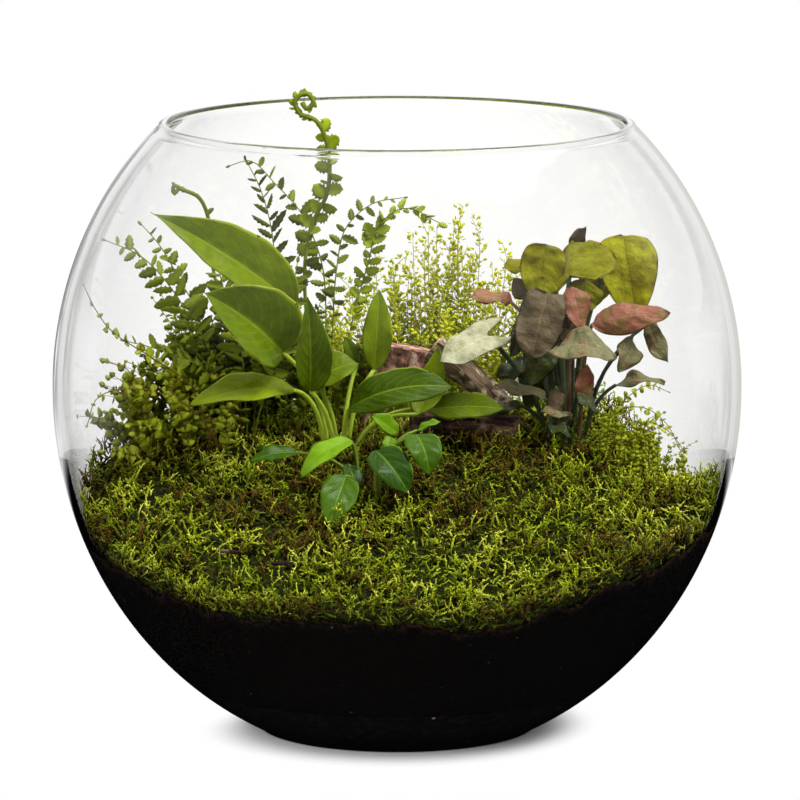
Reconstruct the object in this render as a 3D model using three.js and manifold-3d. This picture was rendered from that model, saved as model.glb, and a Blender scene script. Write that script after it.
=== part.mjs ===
// Glass plant terrarium: an open bubble bowl that holds gravel, soil, moss, bark and small plants.
// Millimetres, +Z up. The bowl stands on Z = 0 and its front faces -Y.
import * as THREE from 'three';
import Module from 'manifold-3d';
import { mergeVertices } from 'three/addons/utils/BufferGeometryUtils.js';

const wasm = await Module();
wasm.setup();
const { Manifold } = wasm;

// ---- driving sizes ----

const SEGMENTS = 32; // facets around the bowl and what fills it
const STEPS = 10; // facets up the wall
const GAP = 0.35; // air between pieces that touch
const TIDY = 0.1; // slivers thinner than this are merged after a join or a cut

// The wall is two half ellipses that meet at the waist
const BOWL = { girth: 150, waist: 150, below: 163, above: 158, height: 266, wall: 3.2, floor: 7 };

const GRAVEL_TOP = 24;
const MOSS_DEPTH = 8;
// Height at the middle, slopes along Y and X, the Y where it levels off, the drop at `reach` from the
// middle, and the radii of its facets; the dip is a hollow at the right back
const HILL = {
  crest: 117, climb: 0.27, lean: 0.03, level: 30, fall: 9, reach: 135, rings: [54, 106, 160],
  dip: { x: 132, y: 62, depth: 26, wide: 34, long: 50 },
};
const HOLE_DEPTH = 11; // from the top of the moss down into the soil

// ---- materials ----

function matter(color, roughness, metalness = 0) {
  return new THREE.MeshStandardMaterial({ color, roughness, metalness, side: THREE.DoubleSide });
}

const GLASS = new THREE.MeshStandardMaterial({
  color: 0xeef2f0,
  roughness: 0.02,
  metalness: 0,
  transparent: true,
  opacity: 0.2,
});
const GRAVEL = matter(0x2a2522, 0.9);
const SOIL = matter(0x15100e, 0.95);
const MOSS = matter(0x7f9420, 0.9);
const BARK = matter(0x6b4a3a, 0.85);
const TWIG = matter(0x2c1d14, 0.85);
const LILY = matter(0x5f9a1e, 0.35);
const YOUNG = matter(0x4f9420, 0.25);
const FERN = matter(0x6c8f2c, 0.6);
const SPIKE = matter(0xa9bf3c, 0.7);
const TRAIL = matter(0x7f9c34, 0.5);
const ARROWHEAD = {
  olive: matter(0x9a9a2c, 0.45),
  pink: matter(0xb8746c, 0.5),
  taupe: matter(0x75655b, 0.5),
  pale: matter(0xcfcfb4, 0.5),
  sage: matter(0x7f8a62, 0.45),
};

// ---- closed solids ----

function geometryFrom(points, faces) {
  const geometry = new THREE.BufferGeometry();
  const places = points.flatMap((point) => [point.x, point.y, point.z]);
  geometry.setAttribute('position', new THREE.Float32BufferAttribute(places, 3));
  geometry.setIndex(faces.flat());
  return geometry;
}

function toManifold(geometry) {
  const bare = geometry.clone();
  bare.deleteAttribute('normal');
  bare.deleteAttribute('uv');
  const merged = mergeVertices(bare, 1e-4);
  return new Manifold(new wasm.Mesh({
    numProp: 3,
    vertProperties: new Float32Array(merged.attributes.position.array),
    triVerts: new Uint32Array(merged.index.array),
  }));
}

function fromManifold(solid) {
  const mesh = solid.getMesh();
  const geometry = new THREE.BufferGeometry();
  geometry.setAttribute('position', new THREE.BufferAttribute(mesh.vertProperties, 3));
  geometry.setIndex(new THREE.BufferAttribute(mesh.triVerts, 1));
  return geometry;
}

// A solid turned about Z from [radius, height] pairs that start and end on the axis
function turned(pairs) {
  const profile = pairs.map(([radius, height]) => new THREE.Vector2(radius, height));
  const geometry = new THREE.LatheGeometry(profile, SEGMENTS).rotateX(Math.PI / 2);
  return toManifold(geometry);
}

// A closed thin sheet: each spot has a middle point, its normal and half its thickness there.
// faces and border index the spots, both counterclockwise as seen from the upper side.
function sheet(spots, faces, border) {
  const count = spots.length;
  const upper = spots.map((spot) => spot.point.clone().addScaledVector(spot.normal, spot.half));
  const lower = spots.map((spot) => spot.point.clone().addScaledVector(spot.normal, -spot.half));
  const under = faces.map(([a, b, c]) => [a + count, c + count, b + count]);
  const walls = border.flatMap((from, i) => {
    const to = border[(i + 1) % border.length];
    return [[from, from + count, to + count], [from, to + count, to]];
  });
  return geometryFrom([...upper, ...lower], [...faces, ...under, ...walls]);
}

function vector([x, y, z]) {
  return new THREE.Vector3(x, y, z);
}

// Sideways and upward directions of a blade that runs along `ahead` and faces `face`
function frameOf(ahead, face) {
  const side = new THREE.Vector3().crossVectors(ahead, face).normalize();
  const normal = new THREE.Vector3().crossVectors(side, ahead).normalize();
  return { side, normal };
}

// ---- bowl and fillings ----

// [radius, height] pairs up the wall, `inset` millimetres in from its outer face
function wallProfile(bottom, top, inset) {
  const below = BOWL.below - inset;
  const above = BOWL.above - inset;
  const start = Math.asin((bottom - BOWL.waist) / below);
  const end = Math.asin((top - BOWL.waist) / above);
  return Array.from({ length: STEPS + 1 }, (_, i) => {
    const turn = THREE.MathUtils.lerp(start, end, i / STEPS);
    const reach = turn < 0 ? below : above;
    return [(BOWL.girth - inset) * Math.cos(turn), BOWL.waist + reach * Math.sin(turn)];
  });
}

function makeBowl() {
  const outer = wallProfile(0, BOWL.height, 0);
  const inner = wallProfile(BOWL.floor, BOWL.height, BOWL.wall).reverse();
  return turned([[0, 0], ...outer, ...inner, [0, BOWL.floor]]);
}

// The room inside the glass, less the gap
function makeRoom() {
  const inner = wallProfile(BOWL.floor + GAP, BOWL.height, BOWL.wall + GAP);
  return turned([[0, BOWL.floor + GAP], ...inner, [0, BOWL.height]]);
}

// Height of the moss: a hill that climbs from the front, levels off at the back, rolls in mounds and
// dips at the right back
function hill(x, y) {
  const { dip } = HILL;
  const hollow = dip.depth * Math.exp(-(((x - dip.x) / dip.wide) ** 2) - ((y - dip.y) / dip.long) ** 2);
  const away = (x * x + y * y) / (HILL.reach * HILL.reach);
  const ahead = y < HILL.level ? y : HILL.level + 0.3 * (y - HILL.level);
  const mounds = 5 * Math.cos((x + 20) / 20) * Math.cos((y + 125) / 40);
  return HILL.crest + HILL.climb * ahead + HILL.lean * x - HILL.fall * away + mounds * away - hollow;
}

// A round block between two surfaces that are functions of x and y
function hillBlock(bottomOf, topOf) {
  const rings = HILL.rings;
  const flat = [[0, 0]];
  for (const ring of rings) {
    for (let i = 0; i < SEGMENTS; i += 1) {
      const turn = (2 * Math.PI * i) / SEGMENTS;
      flat.push([ring * Math.cos(turn), ring * Math.sin(turn)]);
    }
  }
  const at = (ring, i) => (ring < 0 ? 0 : 1 + ring * SEGMENTS + (i % SEGMENTS));
  const faces = [];
  for (let i = 0; i < SEGMENTS; i += 1) {
    faces.push([0, at(0, i), at(0, i + 1)]);
    for (let ring = 1; ring < rings.length; ring += 1) {
      faces.push([at(ring - 1, i), at(ring, i), at(ring, i + 1)]);
      faces.push([at(ring - 1, i), at(ring, i + 1), at(ring - 1, i + 1)]);
    }
  }
  const count = flat.length;
  const upper = flat.map(([x, y]) => new THREE.Vector3(x, y, topOf(x, y)));
  const lower = flat.map(([x, y]) => new THREE.Vector3(x, y, bottomOf(x, y)));
  const under = faces.map(([a, b, c]) => [a + count, c + count, b + count]);
  const last = rings.length - 1;
  const walls = [];
  for (let i = 0; i < SEGMENTS; i += 1) {
    const from = at(last, i);
    const to = at(last, i + 1);
    walls.push([from, from + count, to + count], [from, to + count, to]);
  }
  return toManifold(geometryFrom([...upper, ...lower], [...faces, ...under, ...walls]));
}

// Plain upright holes that the stems stand in, one for each crown or single stem
const CROWNS = {
  lily: { x: -26, y: 22, radius: 14.5 },
  young: { x: -12, y: -28, radius: 9.5 },
  arrowhead: { x: 75, y: 40, radius: 13 },
  fernLeft: { x: -68, y: 48, radius: 11 },
  fernBack: { x: -32, y: 68, radius: 9 },
  spike1: { x: -8, y: 102, radius: 2.2 },
  spike2: { x: 9, y: 104, radius: 2.2 },
  spike3: { x: 26, y: 102, radius: 2.2 },
  spike4: { x: 43, y: 96, radius: 2.2 },
  trail: { x: -80, y: 20, radius: 5 },
  sprig: { x: 93, y: 22, radius: 5 },
  sprigBack: { x: 92, y: 60, radius: 2.5 },
};

function floorOf(crown) {
  return hill(crown.x, crown.y) - HOLE_DEPTH;
}

function makeHoles() {
  return Manifold.union(Object.values(CROWNS).map((crown) => {
    const hole = Manifold.cylinder(3 * HOLE_DEPTH, crown.radius, crown.radius, 6);
    return hole.translate([crown.x, crown.y, floorOf(crown)]);
  }));
}

// A stem's foot, [dx, dy] away from the middle of its crown, just off the floor of the hole
function footIn(crown, [dx, dy]) {
  return [crown.x + dx, crown.y + dy, floorOf(crown) + GAP];
}

// ---- leaves ----

// Rows up the stalk, how far it runs into the blade, how far out its bend starts, half the edge's
// thickness, half the width of the tip, and the width from which a blade needs more columns
const LEAF = { stalkRows: 3, root: 1, elbow: 0.06, edge: 0.35, tip: 0.5, broad: 15 };

// Half the width of a leaf, from its base at t = 0 to its tip at t = 1. A low `belly` puts the
// widest place near the base and a high `point` draws the tip out.
function halfWidth(t, { width, belly = 0.6, point = 1, lobes = 0 }) {
  const start = lobes > 0 ? 0.04 : 0;
  const shape = (s) => (s + start) ** belly * (1 - s) ** point;
  const widest = (belly - start * point) / (belly + point);
  return (width / 2) * (shape(t) / shape(widest));
}

// One leaf on its stalk. The blade is a closed grid of rows along it and columns across it.
// foot, base and tip are places; face is where the upper side looks; arch bows the midrib to that
// side; fold turns the halves up at the midrib; twist turns the tip; ruffle waves the edge; rise is how
// far up the stalk bends out.
function leaf(spec) {
  const { foot, base, tip, face, stalk = 2, arch = 0, lobes = 0, rise = 0.7 } = spec;
  const { fold = 0, twist = 0, ruffle = 0, waves = 2, columns = spec.width > LEAF.broad ? 4 : 2 } = spec;
  const rows = columns + 2;
  const [start, joint, end] = [foot, base, tip].map(vector);
  const chord = end.clone().sub(joint);
  const middle = frameOf(chord.clone().normalize(), vector(face));
  const bow = joint.clone().lerp(end, 0.5).addScaledVector(middle.normal, 2 * arch);
  const rib = new THREE.QuadraticBezierCurve3(joint, bow, end);
  const elbow = start.clone().lerp(joint, LEAF.elbow);
  elbow.z = THREE.MathUtils.lerp(start.z, joint.z, rise);
  const stem = new THREE.QuadraticBezierCurve3(start, elbow, joint);

  const spots = [];
  for (let row = 0; row <= rows; row += 1) {
    const t = row / rows;
    const ahead = rib.getTangent(t);
    const frame = frameOf(ahead, vector(face));
    const turn = THREE.MathUtils.degToRad(twist * t);
    const side = frame.side.clone().applyAxisAngle(ahead, turn);
    const normal = frame.normal.clone().applyAxisAngle(ahead, turn);
    const half = Math.max(halfWidth(t, spec), LEAF.tip, (stalk / 2) * (1 - 4 * t));
    const lift = THREE.MathUtils.degToRad(fold);
    for (let column = 0; column <= columns; column += 1) {
      const s = (2 * column) / columns - 1;
      const wave = ruffle * s * s * Math.sin(2 * Math.PI * (waves * t + 0.2 * Math.sign(s)));
      const point = rib.getPoint(t)
        .addScaledVector(side, s * half * Math.cos(lift))
        .addScaledVector(normal, Math.abs(s) * half * Math.sin(lift) + wave)
        .addScaledVector(ahead, -lobes * Math.abs(s) ** 1.2 * (1 - t) ** 2);
      const thick = THREE.MathUtils.lerp(LEAF.edge, stalk / 2, (1 - Math.abs(s)) ** 4 * (1 - t) * 0.8);
      spots.push({ point, normal, half: thick });
    }
  }
  const blade = toManifold(gridSheet(spots, rows + 1, columns));
  const across = frameOf(rib.getTangent(0), vector(face)).side;
  return blade.add(stalkAlong(stem, across, stalk)).simplify(TIDY);
}

// A stalk up a curve and a little way on into its blade, which spreads along `across`
function stalkAlong(curve, across, girth) {
  const spots = [];
  for (let row = 0; row < LEAF.stalkRows; row += 1) {
    const t = row / (LEAF.stalkRows - 1);
    const ahead = curve.getTangent(t);
    const normal = new THREE.Vector3().crossVectors(across, ahead).normalize();
    const side = new THREE.Vector3().crossVectors(ahead, normal);
    const radius = (girth / 2) * (1.15 - 0.25 * t);
    for (const s of [-1, 0, 1]) {
      const point = curve.getPoint(t).addScaledVector(side, s * radius).addScaledVector(ahead, t * LEAF.root);
      spots.push({ point, normal, half: s === 0 ? radius : radius / 2 });
    }
  }
  return toManifold(gridSheet(spots, LEAF.stalkRows, 2));
}

// Closes a grid of spots, rows x (columns + 1), into a sheet
function gridSheet(spots, rows, columns) {
  const at = (row, column) => row * (columns + 1) + column;
  const faces = [];
  for (let row = 0; row < rows - 1; row += 1) {
    for (let column = 0; column < columns; column += 1) {
      faces.push([at(row, column), at(row, column + 1), at(row + 1, column + 1)]);
      faces.push([at(row, column), at(row + 1, column + 1), at(row + 1, column)]);
    }
  }
  const border = [];
  for (let column = 0; column < columns; column += 1) border.push(at(0, column));
  for (let row = 0; row < rows - 1; row += 1) border.push(at(row, columns));
  for (let column = columns; column > 0; column -= 1) border.push(at(rows - 1, column));
  for (let row = rows - 1; row > 0; row -= 1) border.push(at(row, 0));
  return sheet(spots, faces, border);
}

// ---- fronds and sprays ----

const RIB_STEP = 15; // between the facets of a bare stalk

// One frond as a single thin arched blade that is cut to its rib between the leaflets.
// route is where the rib runs and face where its upper side looks; leaflets start `bare` of the way up.
function frond(spec) {
  const { route, face, count, longest, broad, bare = 0.25, rib = 1.2, lean = 0.3 } = spec;
  const { plump = true, opposite = false, thick = 0.7, least = 0.3 } = spec;
  const curve = new THREE.CatmullRomCurve3(route.map(vector), false, 'centripetal');
  const length = curve.getLength();
  const pitch = (length * (1 - bare)) / (count + 1);
  const halfRib = (u) => (rib / 2) * (1 - 0.5 * (u / length));
  const flat = [];
  const faces = [];
  const put = (u, v) => flat.push(new THREE.Vector2(u, v)) - 1;

  // One side of the rib from the foot up: `chain` is its edge on the rib and `edge` the whole edge
  const sideOf = (hand) => {
    const chain = [];
    const edge = [];
    const onRib = (u) => {
      chain.push(put(u, hand * halfRib(u)));
      edge.push(chain.at(-1));
    };
    onRib(0);
    for (let u = RIB_STEP; u < bare * length - RIB_STEP / 2; u += RIB_STEP) onRib(u);
    for (let i = 0; i < count; i += 1) {
      const u = bare * length + pitch * (i + (hand > 0 || opposite ? 0.5 : 1));
      const size = longest * Math.max(least, Math.sin(Math.PI * (0.18 + (0.78 * i) / count)) ** 0.8);
      const half = Math.min(broad / 2, 0.46 * pitch);
      onRib(u - 0.7 * half);
      const from = chain.at(-1);
      const belly = [u - half + 0.5 * lean * size, hand * (halfRib(u) + 0.55 * size)];
      const rim = plump ? [put(...belly)] : [];
      rim.push(put(u + lean * size, hand * (halfRib(u) + size)));
      edge.push(...rim);
      onRib(u + 0.7 * half);
      const fan = [...rim, chain.at(-1)];
      for (let k = 1; k < fan.length; k += 1) {
        faces.push(hand > 0 ? [from, fan[k], fan[k - 1]] : [from, fan[k - 1], fan[k]]);
      }
    }
    return { chain, edge };
  };

  const left = sideOf(1);
  const right = sideOf(-1);
  const tip = put(length, 0);
  let [i, j] = [0, 0];
  while (i < left.chain.length - 1 || j < right.chain.length - 1) {
    const [a, b] = [left.chain[i], right.chain[j]];
    const nextLeft = flat[left.chain[i + 1]]?.x ?? Infinity;
    const nextRight = flat[right.chain[j + 1]]?.x ?? Infinity;
    if (nextLeft <= nextRight) i += 1;
    else j += 1;
    faces.push([a, b, nextLeft <= nextRight ? left.chain[i] : right.chain[j]]);
  }
  faces.push([left.chain[i], right.chain[j], tip]);
  const border = [...right.edge, tip, ...left.edge.reverse()];

  const spots = flat.map(({ x: u, y: v }) => {
    const t = THREE.MathUtils.clamp(u / length, 0, 1);
    const ahead = curve.getTangentAt(t);
    const { side, normal } = frameOf(ahead, vector(face));
    const point = curve.getPointAt(t)
      .addScaledVector(ahead, Math.max(0, u - length))
      .addScaledVector(side, -v);
    return { point, normal, half: thick / 2 };
  });
  return sheet(spots, faces, border);
}

// A limb of wood: uneven rings along a route, `wide` and `deep` across, closed at both ends
function limb({ route, wide, deep, sides = 8, rings = 5, rough = 0.12, grow = 0 }) {
  const curve = new THREE.CatmullRomCurve3(route.map(vector));
  const length = curve.getLength();
  const spots = [];
  for (let ring = 0; ring <= rings; ring += 1) {
    const t = ring / rings;
    const ahead = curve.getTangentAt(t);
    const { side, normal } = frameOf(ahead, new THREE.Vector3(0, -1, 0.2));
    const centre = curve.getPointAt(t).addScaledVector(ahead, (grow * (2 * t - 1)) / 2);
    for (let i = 0; i < sides; i += 1) {
      const turn = (2 * Math.PI * i) / sides;
      const knot = 1 + rough * (Math.cos(3 * turn + 5 * t) + Math.cos(7 * t + 2 * turn + length));
      const point = centre.clone()
        .addScaledVector(side, Math.cos(turn) * ((wide / 2) * knot + grow))
        .addScaledVector(normal, Math.sin(turn) * ((deep / 2) * knot + grow));
      spots.push(point);
    }
  }
  const at = (ring, i) => ring * sides + (i % sides);
  const faces = [];
  for (let i = 0; i < sides; i += 1) {
    for (let ring = 0; ring < rings; ring += 1) {
      faces.push([at(ring, i), at(ring + 1, i + 1), at(ring, i + 1)]);
      faces.push([at(ring, i), at(ring + 1, i), at(ring + 1, i + 1)]);
    }
  }
  for (let i = 1; i < sides - 1; i += 1) {
    faces.push([at(0, 0), at(0, i), at(0, i + 1)]);
    faces.push([at(rings, 0), at(rings, i + 1), at(rings, i)]);
  }
  return toManifold(geometryFrom(spots, faces));
}

// ---- what grows and lies in the bowl ----

const WOOD = {
  bark_slab: { route: [[-2, 60, 114], [2, 60, 138], [6, 60, 158]], wide: 34, deep: 14 },
  driftwood_limb: { route: [[16, 48, 160], [30, 47, 149], [48, 46, 131]], wide: 12, deep: 12 },
  driftwood_root: { route: [[6, 31, 128], [30, 29, 128], [54, 30, 125]], wide: 14, deep: 12 },
};

// Twigs lie on the moss, from [x, y] to [x, y]
const TWIGS = {
  twig_1: { from: [-78, -70], to: [-66, -74], girth: 1.6 },
  twig_2: { from: [-56, -85], to: [-44, -88], girth: 1.8 },
};

function twig({ from, to, girth }, grow = 0) {
  const route = [from, to].map(([x, y]) => [x, y, hill(x, y) + 0.3 * girth]);
  return limb({ route, wide: girth, deep: girth, sides: 5, rings: 2, grow });
}

// In every leaf and stem below, foot is [dx, dy] from the middle of its crown

const LILY_LEAVES = [
  { foot: [-4, 5], base: [-45, 34, 181], tip: [-108, 20, 224], face: [0.2, -0.85, 0.5], width: 31, arch: 5,
    fold: 28, belly: 0.7, point: 1.1 },
  { foot: [-4, -1], base: [-50, 12, 163], tip: [-84, 2, 191], face: [0.45, -0.85, 0.3], width: 40, arch: 5,
    fold: 32, belly: 0.6, point: 0.8 },
  { foot: [-1, -5], base: [-38, 6, 147], tip: [-39, 2, 189], face: [0.35, -0.9, 0], width: 20, arch: 2,
    fold: 30, belly: 0.6, point: 1.1 },
  { foot: [-5.5, -4], base: [-45, 8, 147], tip: [-90, -8, 143], face: [0, -0.55, 0.85], width: 19, arch: 5,
    fold: 10, belly: 0.7, point: 0.9, rise: 0.9 },
  { foot: [0, 5.5], base: [-36, 22, 148], tip: [-17, 26, 156], face: [-0.3, -0.7, 0.7], width: 20, arch: 3,
    fold: 15, belly: 0.6, point: 0.9 },
  { foot: [4, 6], base: [-10, 34, 152], tip: [-8, 40, 187], face: [0.1, -1, 0.1], width: 14, arch: 2,
    fold: 18, belly: 0.6, point: 0.9 },
  { foot: [2.5, -4], base: [-21, 8, 139], tip: [24, 0, 150], face: [-0.15, -0.75, 0.6], width: 20, arch: 8,
    fold: 8, belly: 0.6, point: 0.7, ruffle: 1.2 },
  { foot: [6.5, -2.5], base: [9, 9, 136], tip: [18, 20, 165], face: [-0.5, -0.8, 0], width: 14, arch: -4,
    fold: 12, belly: 0.5, point: 1, twist: 30, rise: 1 },
  { foot: [7, 1.5], base: [14, 19, 137], tip: [47, 14, 138], face: [0, -0.75, 0.65], width: 15, arch: 2,
    fold: 8, belly: 0.6, point: 0.8, rise: 1 },
  { foot: [2, 2], base: [-18, 36, 153], tip: [-23, 38, 166], face: [0.3, -1, 0.2], width: 7, arch: 1,
    fold: 10, belly: 0.7, point: 0.8 },
];

// Three stems of small glossy leaves
const YOUNG_STEMS = [
  { foot: [-3, -1], leaves: [
    { base: [-20, -30, 131], tip: [-41, -42, 117], face: [-0.3, -0.6, 0.75], width: 13, arch: 4 },
    { base: [-22, -38, 117], tip: [-29, -57, 99], face: [0, -0.9, 0.45], width: 16, arch: 2 },
    { base: [-44, -8, 122], tip: [-64, -14, 119], face: [0, -0.5, 0.9], width: 10, arch: 2, rise: 1.15 },
    { base: [-21, -27, 120], tip: [-17, -37, 110], face: [0.2, -0.7, 0.7], width: 9, arch: 1 },
  ] },
  { foot: [1.5, -3], leaves: [
    { base: [-9, -32, 127], tip: [5, -46, 111], face: [0.1, -0.8, 0.6], width: 17, arch: 3 },
    { base: [-3, -26, 132], tip: [-4, -31, 125], face: [0, -0.9, 0.5], width: 6, arch: 1 },
  ] },
  { foot: [2.5, 2], leaves: [
    { base: [8, -26, 133], tip: [14, -40, 118], face: [0.2, -0.75, 0.6], width: 16, arch: 4 },
    { base: [0, -20, 133], tip: [-11, -24, 141], face: [0.2, -0.8, 0.6], width: 9, arch: 1 },
    { base: [9, -20, 134], tip: [19, -22, 138], face: [0, -0.5, 0.9], width: 5, arch: 1 },
  ] },
];

// Leafy stems of the arrowhead vine; each stem is one colour
const ARROWHEAD_STEMS = [
  { color: 'olive', foot: [3, 6], leaves: [
    { base: [101, 57, 209], tip: [107, 48, 173], face: [-0.1, -1, 0.2], width: 28, arch: 4, belly: 0.4,
      fold: 8 },
    { base: [90, 60, 196], tip: [88, 54, 178], face: [0.3, -1, 0.2], width: 18, arch: 3, belly: 0.4 },
  ] },
  { color: 'olive', foot: [-2.5, 6], leaves: [
    { base: [76, 36, 193], tip: [79, 56, 206], face: [-0.5, -0.3, 0.8], width: 44, arch: 1, belly: 0.4,
      lobes: 7, fold: -12 },
    { base: [60, 54, 195], tip: [47, 50, 195], face: [0, -0.5, 0.85], width: 10, arch: 2 },
  ] },
  { color: 'taupe', foot: [-6, -3], leaves: [
    { base: [66, 21, 188], tip: [59, 12, 161], face: [-0.1, -1, 0.3], width: 21, arch: 2, belly: 0.35,
      point: 0.45, lobes: 2 },
    { base: [57, 40, 183], tip: [52, 42, 192], face: [0, -1, 0], width: 9 },
  ] },
  { color: 'pink', foot: [1, -2], leaves: [
    { base: [77, 27, 190], tip: [81, 22, 171], face: [0.3, -1, 0.1], width: 13, arch: 1 },
    { base: [50, 46, 181], tip: [32, 42, 183], face: [0, -0.6, 0.8], width: 10, arch: 2 },
  ] },
  { color: 'pink', foot: [5.5, -2.5], leaves: [
    { base: [86, 26, 174], tip: [120, 20, 179], face: [0.1, -0.9, 0.5], width: 16, arch: 4, point: 0.7,
      fold: -20 },
    { base: [82, 32, 139], tip: [84, 31, 155], face: [0, -1, 0], width: 9 },
  ] },
  { color: 'pale', foot: [-8, 2], leaves: [
    { base: [40, 22, 169], tip: [19, 8, 159], face: [0.2, -0.7, 0.6], width: 18, arch: 2, lobes: 13,
      twist: 25, stalk: 2.2, rise: 0.45 },
  ] },
  { color: 'sage', foot: [-1, -7.3], leaves: [
    { base: [71, 4, 167], tip: [95, -8, 163], face: [0.1, -0.7, 0.7], width: 18, arch: 5, belly: 0.45,
      lobes: 3 },
    { base: [65, 30, 140], tip: [43, 22, 147], face: [0, -0.6, 0.8], width: 9, arch: 2 },
    { base: [77, 24, 132], tip: [63, 14, 136], face: [0, -0.5, 0.85], width: 8, arch: 2 },
  ] },
  { color: 'sage', foot: [8, 2], leaves: [
    { base: [104, 26, 166], tip: [97, 16, 154], face: [0.5, -0.8, 0.4], width: 12, arch: 3 },
    { base: [112, 40, 172], tip: [120, 30, 156], face: [-0.5, -0.8, 0.3], width: 10, arch: 4 },
    { base: [97, 30, 146], tip: [118, 20, 148], face: [0, -0.5, 0.85], width: 9, arch: 3 },
  ] },
];

// Fronds: the route's points follow the foot; the first ones have a curled tip
const FRONDS = [
  { crown: 'fernBack', foot: [-3, -3], route: [[-40, 60, 166], [-41, 60, 196], [-38, 62, 213], [-31, 62, 228],
    [-31, 60, 249], [-36, 58, 261], [-43, 58, 264], [-45, 58, 270], [-40, 58, 273], [-37, 58, 269]],
    face: [0, -1, 0], count: 11, longest: 6.5, broad: 5, bare: 0.4, lean: 0.4 },
  { crown: 'fernLeft', foot: [-1, 5], route: [[-78, 69, 170], [-84, 74, 200], [-85, 72, 216], [-89, 68, 225],
    [-96, 64, 229], [-100, 64, 231], [-100, 64, 227]],
    face: [0, -1, 0], count: 5, longest: 6, broad: 4, bare: 0.55 },
  { crown: 'fernBack', foot: [-2, 3], route: [[-32, 78, 168], [-34, 84, 193], [-43, 86, 215], [-55, 84, 229],
    [-66, 80, 240], [-75, 78, 238]], face: [0.2, -1, 0.3], count: 9, longest: 7, broad: 5, bare: 0.35,
    plump: false },
  { crown: 'fernLeft', foot: [4, 2], route: [[-58, 72, 169], [-55, 80, 190], [-57, 86, 210], [-62, 88, 227],
    [-67, 88, 237]], face: [0, -0.9, 0.4], count: 9, longest: 10, broad: 5.5 },
  { crown: 'fernLeft', foot: [-5, -2], route: [[-87, 40, 164], [-99, 36, 187], [-113, 32, 203],
    [-129, 28, 211]], face: [0.2, -0.8, 0.5], count: 9, longest: 10, broad: 5.5 },
  { crown: 'fernLeft', foot: [-4, 2], route: [[-85, 60, 166], [-97, 62, 188], [-106, 60, 204],
    [-114, 56, 214]], face: [0, -0.8, 0.5], count: 9, longest: 9, broad: 5 },
  { crown: 'fernLeft', foot: [1, -1], route: [[-70, 50, 163], [-78, 52, 189], [-82, 54, 209]],
    face: [0.3, -1, 0.2], count: 9, longest: 9, broad: 5 },
  { crown: 'fernBack', foot: [2, 0], route: [[-29, 76, 163], [-27, 80, 192], [-23, 82, 209], [-11, 82, 220],
    [3, 80, 223]], face: [0, -0.9, 0.4], count: 9, longest: 7, broad: 5, bare: 0.4, plump: false },
  { crown: 'fernBack', foot: [4, 4], route: [[-20, 84, 167], [-13, 90, 192], [-8, 92, 209], [4, 90, 217],
    [19, 84, 211]], face: [0, -0.8, 0.6], count: 9, longest: 7, broad: 5, bare: 0.35, plump: false },
  { crown: 'fernLeft', foot: [-3, -5], route: [[-84, 32, 151], [-102, 22, 162], [-119, 14, 168]],
    face: [0.1, -0.6, 0.8], count: 9, longest: 9, broad: 5, bare: 0.2 },
  { crown: 'fernLeft', foot: [5, -4], route: [[-50, 40, 164], [-47, 40, 182], [-44, 40, 199]],
    face: [0, -1, 0.2], count: 9, longest: 9, broad: 5 },
];

// Trailing and low stems with round or tiny paired leaves
const TRAILS = [
  { crown: 'trail', foot: [-2, 1], route: [[-91, 14, 148], [-107, 4, 162], [-124, -4, 175], [-131, -6, 185],
    [-136, -4, 195]], face: [0.2, -0.7, 0.6], count: 9, longest: 4.5, broad: 4.5, opposite: true, bare: 0.3 },
  { crown: 'trail', foot: [1, -2], route: [[-95, 4, 143], [-116, -6, 150], [-130, -14, 147],
    [-134, -18, 136]], face: [0, -0.5, 0.85], count: 8, longest: 4.5, broad: 4.5, opposite: true, bare: 0.3 },
];
const SPRIGS = [
  { crown: 'sprig', foot: [-1, 1], route: [[98, 14, 137], [109, 8, 139], [118, 2, 133], [123, -4, 124]],
    face: [0, -0.6, 0.8], count: 6, longest: 3.5, broad: 2.8, opposite: true, bare: 0.3, plump: false },
  { crown: 'sprigBack', foot: [0, 0], route: [[102, 66, 133], [113, 66, 140], [122, 60, 138]],
    face: [0, -0.7, 0.7], count: 6, longest: 4, broad: 3, opposite: true, plump: false },
  { crown: 'sprig', foot: [1.5, 0], route: [[107, 24, 130], [119, 16, 128], [127, 8, 119]],
    face: [0, -0.6, 0.8], count: 6, longest: 3.5, broad: 2.8, opposite: true, bare: 0.3, plump: false },
];

// Sprays of spike moss: a small core that upright feathery stems stand out of
const SPRAYS = [
  { crown: 'spike1', top: [-15, 106, 190], spread: 10 },
  { crown: 'spike2', top: [8, 109, 199], spread: 9 },
  { crown: 'spike3', top: [27, 108, 213], spread: 8 },
  { crown: 'spike4', top: [48, 102, 197], spread: 11 },
];
const SPRAY = { stems: 3, core: 7, coreLift: 20 };

function seeded(seed) {
  let state = seed;
  return () => {
    state = (state * 16807) % 2147483647;
    return state / 2147483647;
  };
}

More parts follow.
